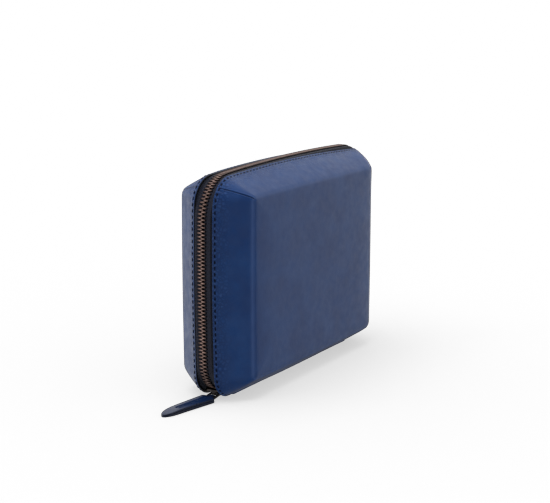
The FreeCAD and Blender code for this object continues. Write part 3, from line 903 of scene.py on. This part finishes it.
def rounded_bar(low, high, radius, end_round):
    """A round bar along Z with rounded ends, as points and faces."""
    stops = [(low + end_round * (1 - math.cos(a)), radius - end_round + end_round * math.sin(a))
             for a in np.linspace(0, math.pi / 2, 6)]
    stops += [(z, radius) for z in np.linspace(low + end_round, high - end_round, 60)[1:-1]]
    stops += [(high - (z - low), r) for z, r in stops[5::-1]]
    angles = full_turn(28)
    return tube([np.stack([r * np.cos(angles), r * np.sin(angles), np.full(28, z)], 1) for z, r in stops])


ROLLS = 5


def ring_rolls(material):
    """Padded rolls side by side. One is filled by simulation, then copied with tucks at its ends."""
    lo, hi = box_mm("ring_rolls")
    radius = (hi[1] - lo[1]) / 2
    pitch = (hi[0] - lo[0] - 2 * radius) / (ROLLS - 1)
    bar = rounded_bar(lo[2] + 0.4, hi[2] - 0.4, radius - 0.45, 2.2)
    roll = swell(mesh_piece("ring_rolls_padded", bar, material), 1.3, 0.35, 4.0)
    base = vertex_array(roll.data) / MM
    polygons = [list(p.vertices) for p in roll.data.polygons]
    bpy.data.objects.remove(roll)
    z = base[:, 2]
    angle = np.arctan2(base[:, 1], base[:, 0])
    from_axis = np.maximum(np.hypot(base[:, 0], base[:, 1]), radius / 2)
    near_end = np.maximum(bump_at(z, lo[2], 5.0), bump_at(z, hi[2], 5.0))
    rng = np.random.default_rng(11)
    every, copies = [], []
    for i in range(ROLLS):
        shrink = 1 - 0.035 * near_end * (1 + np.cos(9 * angle + rng.uniform(0, 6)))
        shrink -= 0.012 * (1 + np.sin(z * 2 * math.pi / rng.uniform(19, 27) + rng.uniform(0, 6)))
        shrink = np.minimum(shrink, (radius - 0.04) / from_axis)
        every.append(base * np.stack([shrink, shrink, np.ones(len(z))], 1)
                     + (lo[0] + radius + i * pitch, (lo[1] + hi[1]) / 2, 0))
        copies += [[v + len(base) * i for v in p] for p in polygons]
    return mesh_piece("ring_rolls_padded", (np.concatenate(every), copies), material)


WALL_END = 1.2            # rounding of a divider's ends


def padded_wall(name, node, material):
    """A padded divider: soft sides, a rounded crest and a line of stitching below it."""
    lo, hi = box_mm(node)
    size = hi - lo
    along = 0 if size[0] > size[2] else 2
    over, height = 2 - along, size[1]
    half, middle = size[over] / 2 - 0.06, (lo[over] + hi[over]) / 2
    waist = lambda h: 1 - 0.16 * bump_at(h, height - 2.4, 0.5) - 0.10 * bump_at(h, 0, 1.2)
    profile = [(half * waist(h), h) for h in np.linspace(0, height - half, 16)]
    quarter = np.linspace(0, math.pi / 2, 7)[1:]
    profile += [(half * math.cos(a), height - half * (1 - math.sin(a))) for a in quarter]
    profile += [(-w, h) for w, h in profile[-2::-1]]
    ease = WALL_END * (1 - np.cos(np.linspace(0, math.pi / 2, 6)))
    first, last = lo[along], hi[along]
    rings = []
    for s in (*(first + ease), *np.linspace(first + 1.4, last - 1.4, 70), *(last - ease[::-1])):
        end = min(s - first, last - s)
        thin = 0.55 + 0.45 * math.sqrt(max(0, 1 - max(0, 1 - end / WALL_END) ** 2))
        soft = 1 - 0.035 * (1 + math.sin(s * 0.55 + lo[0]))
        ring = np.zeros((len(profile), 3))
        ring[:, along] = s
        ring[:, over] = [middle + w * thin * soft for w, _ in profile]
        ring[:, 1] = [hi[1] - h * (0.985 + 0.015 * thin) for _, h in profile]
        rings.append(ring)
    return mesh_piece(name, tube(rings), material)


SURROUND_BORDER = 5.0
# The outer part of the surround's section, as (inwards, height).
SURROUND = ((0.25, 0.0), (0.0, 0.25), (0.0, 1.1), (0.25, 1.6), (0.7, 1.95), (1.1, 1.9), (1.35, 1.82),
            (1.6, 1.92), (2.1, 2.15), (2.8, 2.28), (3.5, 2.2), (4.2, 1.98), (4.7, 1.7),
            (SURROUND_BORDER, 1.5))
STRAIGHT = (0.05,) * 4    # sides that hardly bow


def mirror_surround(material):
    """A padded frame round the mirror, with a rounded section and a lip over the glass."""
    lo, hi = box_mm("mirror_frame")
    glass_lo, glass_hi = box_mm("mirror_glass")
    lip, recess = glass_hi[1] - lo[1] + 0.1, glass_lo[0] - lo[0] - 0.05
    rings = []
    for amount, height in (*SURROUND, (SURROUND_BORDER, lip + 0.02), (recess, lip), (recess, 0.0)):
        ring = outline(hi[0] - amount, lo[2] + amount, hi[2] - amount, STRAIGHT, (max(4 - amount, 0.35),) * 3)
        rings.append(at_y(ring, lo[1] + min(height, hi[1] - lo[1])))
    rings = np.array(rings)
    faces = grid_faces(*rings.shape[:2], closed_rows=True)
    return mesh_piece("mirror_surround", (rings.reshape(-1, 3), faces), material)


def soft_pocket(material):
    """The lid pocket: a pad filled by simulation, gathered towards its elastic edge."""
    lo, hi = box_mm("pocket_panel")
    half, low, high, thick = hi[0] - 0.4, lo[2] + 0.4, hi[2] - 0.1, hi[1] - lo[1]
    rings = []
    section = ((1.2, 0.05), (0.3, 0.5), (0.0, thick / 2), (0.3, thick - 1.0), (1.2, thick - 0.55))
    for amount, height in section:
        ring = outline(half - amount, low + amount, high - amount, STRAIGHT, (1.2, 1.2, 5.0))
        rings.append(at_y(ring, lo[1] + height))
    pad = swell(mesh_piece("pocket_cloth_panel", closed_shell(np.array(rings)), material), 1.1, 0.4, 3.0)
    points = vertex_array(pad.data) / MM
    x, y, z = points.T
    gather = 0.20 * np.cos(x * 2 * math.pi / 5.1 + 0.8 * np.sin(x * 0.21)) * ramp(z, lo[2], hi[2]) ** 2.5
    hem = 0.3 * bump_at(z, hi[2] - 3.2, 0.5) + 0.2 * bump_at(z, lo[2] + 2.4, 0.5)
    y += ramp(y, lo[1] + 1.2, lo[1] + 2.0) * (gather - hem)
    points[:, 1] = np.clip(y, lo[1] + 0.02, hi[1] + 0.25)
    points[:, 2] = np.clip(z, lo[2], hi[2])
    pad.data.vertices.foreach_set("co", (points * MM).astype(np.float32).ravel())
    pad.data.update()
    return pad


def gathered_elastic(material):
    """A ribbed elastic band, gathered into small folds along its length."""
    lo, hi = box_mm("pocket_elastic")
    first, last = lo[0] + 0.4, hi[0] - 0.4
    middle = (lo + hi) / 2
    half_y, half_z = (hi[1] - lo[1]) / 2 - 0.28, (hi[2] - lo[2]) / 2 - 0.05
    cos, sin = np.cos(full_turn(32)), np.sin(full_turn(32))
    section_y = np.sign(cos) * np.abs(cos) ** 0.7 * half_y
    section_z = np.sign(sin) * np.abs(sin) ** 0.45 * half_z
    rings = []
    for x in np.linspace(first, last, 420):
        fold = 0.16 * math.cos(x * 2 * math.pi / 2.55 + 0.7 * math.sin(x * 0.3))
        end = min(1.0, (min(x - first, last - x) + 0.15) / 0.6) ** 0.5
        z = section_z * (0.96 + 0.04 * math.cos(x * 2.4)) * end
        rings.append(np.stack([np.full(32, x), middle[1] + section_y * end + fold, middle[2] + z], 1))
    return mesh_piece("pocket_elastic_band", tube(rings), material)


ROLL_PITCH = 9.4


def base_panel(material):
    """The cloth base under the ring rolls, sunk along the lines where they are sewn down."""
    lo, hi = box_mm("ring_roll_base")
    x = np.linspace(lo[0], hi[0], 121)
    top = lo[1] + 0.04 + 0.22 * wave(x - lo[0], ROLL_PITCH) ** 8
    section = [*zip(x, top), *((v, hi[1]) for v in x[::-1])]
    rings = [[(x, y, z) for x, y in section] for z in np.linspace(lo[2], hi[2], 40)]
    return mesh_piece("ring_roll_backing", tube(rings), material)


# ---------------------------------------------------------------- materials

def srgb(r, g, b):
    """Linear colour from 0-255 display values."""
    def one(v):
        v /= 255
        return v / 12.92 if v <= 0.04045 else ((v + 0.055) / 1.055) ** 2.4
    return (one(r), one(g), one(b), 1.0)


class Nodes:
    """A node tree under construction."""

    def __init__(self, tree):
        self.tree = tree

    def feed(self, socket, value):
        """Links a socket to another's output, or gives it a plain value."""
        if isinstance(value, bpy.types.NodeSocket):
            self.tree.links.new(value, socket)
        else:
            socket.default_value = value

    def node(self, kind, settings=None, inputs=None):
        n = self.tree.nodes.new("ShaderNode" + kind)
        for key, value in (settings or {}).items():
            setattr(n, key, value)
        for key, value in (inputs or {}).items():
            self.feed(n.inputs[key], value)
        return n

    def math(self, operation, a, b=0.0, clamp=False):
        return self.node("Math", {"operation": operation, "use_clamp": clamp}, {0: a, 1: b}).outputs[0]

    def times(self, a, b, clamp=False):
        return self.math("MULTIPLY", a, b, clamp)


class Shader(Nodes):
    """A node material under construction."""

    def __init__(self, name):
        self.material = bpy.data.materials.new(name)
        self.material.use_nodes = True
        super().__init__(self.material.node_tree)
        self.surface = self.tree.nodes["Principled BSDF"]

    def set(self, **inputs):
        for key, value in inputs.items():
            self.feed(self.surface.inputs[key.replace("_", " ")], value)

    def coords(self, stretch=(1, 1, 1)):
        where = self.node("TexCoord").outputs["Object"]
        return self.node("Mapping", inputs={"Vector": where, "Scale": stretch}).outputs["Vector"]

    def noise(self, size_mm, detail=3.0, vector=None):
        return self.node("TexNoise", inputs={"Vector": vector or self.coords(), "Scale": 1000 / size_mm,
                                             "Detail": detail, "Roughness": 0.55}).outputs["Fac"]

    def cells(self, size_mm):
        """0 at the borders between pebbles, rising towards their middles."""
        return self.node("TexVoronoi", {"feature": "DISTANCE_TO_EDGE"},
                         {"Vector": self.coords(), "Scale": 1000 / size_mm}).outputs["Distance"]

    def attribute(self, name):
        return self.node("Attribute", {"attribute_name": name}).outputs["Fac"]

    def rib(self, value, pitch):
        """A sine along a value, with the given pitch."""
        return self.math("SINE", self.times(value, 2 * math.pi / pitch))

    def range(self, value, low, high, to_low, to_high):
        return self.node("MapRange", inputs={"Value": value, "From Min": low, "From Max": high,
                                             "To Min": to_low, "To Max": to_high}).outputs["Result"]

    def blend(self, share, a, b):
        return self.node("Mix", {"data_type": "RGBA"}, {0: share, 6: a, 7: b}).outputs[2]

    def bump(self, height, distance_mm, strength=1.0, under=None):
        inputs = {"Height": height, "Distance": distance_mm * MM, "Strength": strength}
        if under:
            inputs["Normal"] = under
        return self.node("Bump", inputs=inputs).outputs["Normal"]


# Painted shade: the colour that darkens the pebbles' valleys.
GRAIN_VALLEY_SHADE = srgb(9, 34, 76)
SEAM_DARK = srgb(8, 13, 34)


def leather(name, colour, deep, pale, rough=(0.36, 0.50), grain_mm=2.1, cut=(8, 10, 16), ior=1.42):
    """Dyed leather: fine pebbled grain, mottled colour, painted shade in the pebbles' valleys, painted glints on their
    crowns and between the stitches, creases painted paler as part wear and part painted highlight, and dark painted
    edges.
    """
    s = Shader(name)
    base = s.blend(s.range(s.noise(16, 4), 0.35, 0.65, 0, 1), colour, deep)
    base = s.blend(s.range(s.noise(1.6, 3), 0.45, 0.75, 0, 0.35), base, deep)
    pebble, grain = s.cells(grain_mm), s.attribute("grain")
    # Painted shade in the pebbles' valleys, where the coarse grain shows.
    valley = s.range(pebble, 0.0, 0.16, 1.0, 0.0)
    base = s.blend(s.times(valley, s.times(grain, 0.8), True), base, GRAIN_VALLEY_SHADE)
    # Painted glints: the pebbles' crowns are coloured paler, in patches, where the coarse grain shows.
    crown = s.times(s.range(pebble, 0.18, 0.40, 0.0, 0.85), grain)
    base = s.blend(s.times(crown, s.range(s.noise(4, 3), 0.4, 0.65, 0.0, 1.0)), base, pale)
    # Paler along the crease, part wear and part painted highlight, and painted glints on the mounds between the
    # stitches.
    base = s.blend(s.times(s.attribute("crease"), 0.35), base, pale)
    base = s.blend(s.times(s.attribute("seam"), 0.8), base, SEAM_DARK)
    base = s.blend(s.attribute("cut"), base, srgb(*cut))
    s.set(Base_Color=base, Roughness=s.range(s.noise(5, 4), 0.3, 0.7, *rough), IOR=ior)
    amount = s.math("ADD", s.times(grain, 1.5), 0.16)
    height = s.times(s.range(pebble, 0.0, 0.22, 0.0, 1.0), amount)
    height = s.math("ADD", height, s.times(s.noise(0.35, 2), 0.35))
    s.set(Normal=s.bump(height, 0.06, 1.0, s.bump(s.noise(6, 2), 0.10, 0.5)))
    return s.material


def tape_cloth(name):
    """Tight twill tape: slanting ribs across its width, a little sheen."""
    s = Shader(name)
    across = s.attribute("across")
    ribs = s.rib(s.math("ADD", s.attribute("along"), s.times(across, 0.9)), 0.55)
    weave = s.math("ADD", s.times(ribs, 0.6), s.times(s.rib(across, 0.42), 0.4))
    base = s.blend(s.range(weave, -1, 1, 0, 1), srgb(17, 19, 30), srgb(36, 39, 56))
    base = s.blend(s.range(s.noise(2.5, 3), 0.3, 0.7, 0.0, 0.4), base, srgb(26, 28, 42))
    s.set(Base_Color=base, Roughness=0.8, Specular_IOR_Level=0.25, Sheen_Weight=0.08,
          Normal=s.bump(weave, 0.08))
    return s.material


def thread(name):
    s = Shader(name)
    twist = s.rib(s.attribute("along"), 1.0)
    base = s.blend(s.range(twist, -1, 1, 0, 1), srgb(3, 7, 22), srgb(9, 18, 46))
    s.set(Base_Color=base, Roughness=0.4, Specular_IOR_Level=0.2, Normal=s.bump(twist, 0.06))
    return s.material


def tooth_metal(name):
    """Antique copper: dark in its hollows, and bright on the crests, partly rubbed metal and partly a painted
    highlight.
    """
    s = Shader(name)
    # Rubbed wear and a painted highlight: the crests are coloured bright.
    rubbed_and_glint = s.range(s.attribute("crest"), 0.2, 1.0, 0.0, 1.0)
    share = s.times(rubbed_and_glint, s.range(s.noise(2.2, 3), 0.3, 0.7, 0.55, 1.0), True)
    s.set(Base_Color=s.blend(share, srgb(34, 26, 28), srgb(176, 146, 136)), Metallic=0.9,
          Roughness=s.range(share, 0, 1, 0.55, 0.3), Normal=s.bump(s.noise(0.3, 2), 0.02))
    return s.material


def plated_metal(name, dark, bright, rough=0.3):
    """Dark plating with fine scratches and brighter rubs."""
    s = Shader(name)
    scratch = s.noise(0.5, 4, s.coords((1, 7, 2)))
    s.set(Base_Color=s.blend(s.range(s.noise(3, 4), 0.5, 0.75, 0.0, 0.7), dark, bright), Metallic=1.0,
          Roughness=s.range(scratch, 0.3, 0.7, rough - 0.08, rough + 0.14), Normal=s.bump(scratch, 0.01))
    return s.material


def suede(name, colour, shade):
    """Brushed cloth: short nap in soft patches, with a sheen."""
    s = Shader(name)
    patches, nap = s.noise(14, 4), s.noise(0.45, 3, s.coords((1, 1, 2.2)))
    base = s.blend(s.range(patches, 0.35, 0.7, 0, 0.8), colour, shade)
    base = s.blend(s.range(nap, 0.35, 0.75, 0, 0.5), base, shade)
    s.set(Base_Color=base, Roughness=0.9, Sheen_Weight=0.6, Sheen_Roughness=0.35,
          Normal=s.bump(nap, 0.10, 0.8, s.bump(patches, 0.5, 0.3)))
    return s.material


def ribbed_elastic(name):
    s = Shader(name)
    where = s.node("SeparateXYZ", inputs={"Vector": s.coords()}).outputs
    ribs, knit = s.rib(where["Z"], 0.55 * MM), s.rib(where["X"], 0.7 * MM)
    weave = s.math("ADD", s.times(ribs, 0.7), s.times(knit, 0.3))
    s.set(Base_Color=s.blend(s.range(weave, -1, 1, 0, 1), srgb(34, 37, 50), srgb(76, 82, 104)), Roughness=0.8,
          Sheen_Weight=0.3, Normal=s.bump(weave, 0.10))
    return s.material


def silvered_glass(name):
    s = Shader(name)
    smear = s.noise(22, 3)
    s.set(Base_Color=s.blend(smear, srgb(226, 231, 233), srgb(236, 240, 242)), Metallic=1.0,
          Roughness=s.range(smear, 0.3, 0.8, 0.02, 0.06))
    return s.material


def fibre_board(name):
    s = Shader(name)
    fibres = s.noise(0.7, 4, s.coords((1, 1, 4)))
    s.set(Base_Color=s.blend(s.range(fibres, 0.3, 0.7, 0, 1), srgb(172, 166, 156), srgb(198, 193, 184)),
          Roughness=0.9, Normal=s.bump(fibres, 0.08))
    return s.material


NAVY = srgb(17, 57, 110)
DEEP_NAVY = srgb(14, 49, 100)
# PALE_NAVY is painted on as glints on the pebbles and between the stitches, and on the creases as part wear and part
# painted highlight.
PALE_NAVY = srgb(50, 80, 134)

materials = {
    "cover": leather("cover_leather_navy", NAVY, DEEP_NAVY, PALE_NAVY),
    "spine": leather("spine_leather_navy", NAVY, DEEP_NAVY, PALE_NAVY, (0.42, 0.56)),
    "tab": leather("pull_leather_navy", srgb(14, 38, 76), srgb(11, 31, 64), PALE_NAVY, (0.26, 0.38), 0.8,
                   (20, 27, 48), 1.55),
    "tape": tape_cloth("zip_tape_twill"),
    "thread": thread("sewing_thread"),
    "teeth": tooth_metal("antique_copper"),
    "slider": plated_metal("gunmetal_plating", srgb(52, 48, 48), srgb(122, 112, 106)),
    "link": plated_metal("gunmetal_wire", srgb(92, 86, 84), srgb(208, 200, 192), 0.22),
    "lining": suede("lining_suede", srgb(150, 152, 160), srgb(126, 129, 139)),
    "padding": suede("padding_suede", srgb(156, 159, 168), srgb(130, 134, 145)),
    "pocket": suede("pocket_suede", srgb(143, 146, 155), srgb(120, 123, 134)),
    "elastic": ribbed_elastic("elastic_rib"),
    "glass": silvered_glass("mirror_silver"),
    "board": fibre_board("fibre_board"),
}

# ---------------------------------------------------------------- the pieces, their bodies and slots

HALVES = (("front", -1), ("back", 1))


def add(piece, slot, node, body=None):
    """Records the CAD node a piece replaces and its finish's slot, and lets it ride on a body."""
    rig.replaces(piece, node)
    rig.slot(piece, slot)
    if body:
        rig.ride(piece, body)
    return piece


def bend(piece, name, side, start, end):
    """A piece that bends between the spine and one half. Points are in millimetres, for the front half."""
    place = lambda p: (p[0] * MM, p[1] * MM * -side, p[2] * MM)
    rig.blend(piece, "spine", name + "_half", start=place(start), end=place(end))


# The tape's sewn edge follows its cover; its free edge follows it only above the lower corners.
TAPE_BEND = ((0, -1.45, 4.0), (0, -6.32, 4.946))
# The teeth bend less across their width, so that they keep their length.
TOOTH_BEND = ((0, -0.78, 3.14), (0, -13.34, 12.81))
SPINE_BEND = ((0, -3.4, 0), (0, -6.2, 0))
SPINE_WELT = 0.10

for name, side in HALVES:
    half = name + "_half"
    add(cover_leather(name + "_cover_skin", side, materials["cover"], 3 + side), "cover_leather",
        name + "_leather", half)
    add(cover_lining(name + "_lining_cloth", side, materials["lining"]), "lining", name + "_lining", half)
    add(stitching(name + "_edge_stitches", side, materials["thread"], 7 + side), "thread",
        name + "_stitching", half)
    tape = add(zip_tape(name + "_tape_cloth", side, materials["tape"]), "zip_tape", name + "_zip_tape")
    teeth = add(zip_teeth(name + "_tooth_row", side, materials["teeth"]), "zip_metal", name + "_zip_teeth")
    skin = add(spine_half(name + "_spine_skin", side, SPINE_LO, SPINE_HI, materials["spine"], SPINE_WELT),
               "spine_leather", "spine_leather")
    cloth = add(spine_half(name + "_spine_cloth", side, SPINE_LINING_LO, SPINE_LINING_HI,
                           materials["lining"], 0), "lining", "spine_lining")
    for piece, span in ((tape, TAPE_BEND), (teeth, TOOTH_BEND), (skin, SPINE_BEND), (cloth, SPINE_BEND)):
        bend(piece, name, side, *span)

add(pull_link(materials["link"]), "slider_metal", "pull_link", "pull_link")
add(pull_tab("pull_tab_top", True, materials["tab"]), "pull_leather", "tab_upper", "pull_tab")
add(pull_tab("pull_tab_under", False, materials["tab"]), "pull_leather", "tab_lower", "pull_tab")
add(ring_rolls(materials["padding"]), "padding", "ring_rolls", "back_half")
add(base_panel(materials["pocket"]), "lining", "ring_roll_base", "back_half")
for node in ("long_divider", "cross_divider", "short_divider"):
    add(padded_wall(node + "_padded", node, materials["padding"]), "padding", node, "back_half")
add(mirror_surround(materials["cover"]), "cover_leather", "mirror_frame", "front_half")
add(soft_pocket(materials["pocket"]), "pocket_cloth", "pocket_panel", "front_half")
add(gathered_elastic(materials["elastic"]), "elastic", "pocket_elastic", "front_half")


def keep_node(node, material, bevel_mm=0.0):
    """A CAD node that stays: a new material, and its sharp edges eased by modifiers."""
    shown = frame["nodes"][node]
    shown.data.materials.clear()
    shown.data.materials.append(material)
    if bevel_mm:
        weld = shown.modifiers.new("weld", "WELD")
        weld.merge_threshold = 0.00001
        ease = shown.modifiers.new("ease", "BEVEL")
        ease.width = bevel_mm * MM
        ease.segments = 3
        ease.limit_method = "ANGLE"
        ease.angle_limit = math.radians(35)
        ease.harden_normals = False


for name, _ in HALVES:
    keep_node(name + "_board", materials["board"])
    keep_node(name + "_top_stop", materials["teeth"], 0.18)
keep_node("zip_bottom_stop", materials["teeth"], 0.18)
keep_node("slider_body", materials["slider"], 0.28)
keep_node("slider_bridge", materials["slider"], 0.35)
keep_node("mirror_glass", materials["glass"])

# ---------------------------------------------------------------- floor, light and camera

scene = bpy.context.scene
scene.view_settings.view_transform = "Standard"


def surroundings():
    """A white studio. Reflections see it dimmer, with brighter and darker patches."""
    world = bpy.data.worlds.new("studio")
    scene.world = world
    world.use_nodes = True
    w = Nodes(world.node_tree)
    direction = w.node("TexCoord").outputs["Generated"]
    shine = BASE_SHINE
    for towards, low, high, amount in LOBES:
        axis = Vector(towards).normalized()
        dot = w.node("VectorMath", {"operation": "DOT_PRODUCT"}, {0: direction, 1: axis}).outputs["Value"]
        patch = w.node("MapRange", {"interpolation_type": "SMOOTHSTEP"},
                       {"Value": dot, "From Min": low, "From Max": high, "To Min": 0.0, "To Max": amount})
        shine = w.math("ADD", shine, patch.outputs["Result"])
    rays = w.node("LightPath").outputs
    level = SOFT_LEVEL
    for ray, seen in (("Is Glossy Ray", w.math("MAXIMUM", shine)), ("Is Camera Ray", 1.0)):
        level = w.node("Mix", {"data_type": "FLOAT"}, {0: rays[ray], 2: level, 3: seen}).outputs[0]
    background = w.tree.nodes["Background"]
    w.feed(background.inputs["Strength"], level)
    background.inputs["Color"].default_value = (1, 1, 1, 1)
    world.cycles.sampling_method = "NONE"


SOFT_LEVEL = 0.76         # what soft light sees
BASE_SHINE = 0.22         # what reflections see outside the patches
# Patches of the studio: towards, cosine where it starts, cosine where it is full, amount.
LOBES = (
    ((-0.565, -0.80, -0.20), -0.10, 0.60, -0.34),
    ((0.30, 0.93, -0.20), 0.70, 0.97, 0.88),
    ((0.995, -0.10, -0.05), 0.84, 1.00, 1.15),
    ((0.84, -0.01, 0.54), 0.60, 0.98, 0.62),
    ((0.10, -0.97, -0.20), 0.88, 0.99, 0.90),
    ((0.84, 0.50, 0.30), 0.80, 1.00, 0.30),
    ((-0.84, 0.50, -0.10), 0.75, 1.00, 0.90),
    ((0.0, 0.0, 1.0), 0.50, 1.00, 0.80),
)


LAMP_AIM = (0, 0, 0.06)


def soft_light(name, place, size, power):
    """A square lamp aimed at the middle of the case, unseen in reflections."""
    lamp = bpy.data.lights.new(name, "AREA")
    lamp.energy = power
    lamp.size = size
    shown = bpy.data.objects.new(name, lamp)
    scene.collection.objects.link(shown)
    shown.location = place
    shown.rotation_euler = (Vector(LAMP_AIM) - Vector(place)).to_track_quat("-Z", "Y").to_euler()
    shown.visible_glossy = False
    return shown


FLOOR_SIZE = 60
FLOOR_FILL = 170          # watts of the lamp that lights only the floor


def lay_floor():
    """A pale floor that takes only the shadow, kept just under the object's lowest point in any pose."""
    bpy.ops.mesh.primitive_plane_add(size=FLOOR_SIZE)
    floor = bpy.context.object
    floor.name = "studio_floor"
    floor.is_shadow_catcher = True
    floor.visible_diffuse = False
    floor.visible_glossy = False
    s = Shader("studio_floor_paint")
    s.set(Base_Color=s.blend(s.noise(400, 2), srgb(240, 240, 242), srgb(244, 244, 246)), Roughness=0.85)
    floor.data.materials.append(s.material)
    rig.stage(floor)

    def settle(*_):
        floor.location.z = min(0.0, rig.bounds()[0].z)

    bpy.app.handlers.render_pre.append(settle)
    lit = bpy.data.collections.new("floor_only")
    lit.objects.link(floor)
    fill = soft_light("floor_fill", (0, 0, 3.0), 2.0, FLOOR_FILL)
    fill.data.use_shadow = False
    fill.light_linking.receiver_collection = lit


CAMERA_PLACE = (-0.7285, -0.4301, 0.2487)
CAMERA_AIM = (0.84077, 0.50378, -0.19827)
LENS = 85.9
SENSOR = 36


def main_camera():
    camera = bpy.data.cameras.new("camera")
    camera.lens = LENS
    camera.sensor_width = SENSOR
    shown = bpy.data.objects.new("camera", camera)
    scene.collection.objects.link(shown)
    shown.location = CAMERA_PLACE
    shown.rotation_euler = Vector(CAMERA_AIM).to_track_quat("-Z", "Y").to_euler()
    scene.camera = shown


surroundings()
lay_floor()
soft_light("overhead", (-0.25, 0.10, 0.95), 0.8, 6)
main_camera()

bpy.context.view_layer.update()
with open("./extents.json", "w") as out:
    json.dump({"cad": [list(c) for c in CAD_BOX], "visual": [list(c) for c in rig.bounds()]}, out)
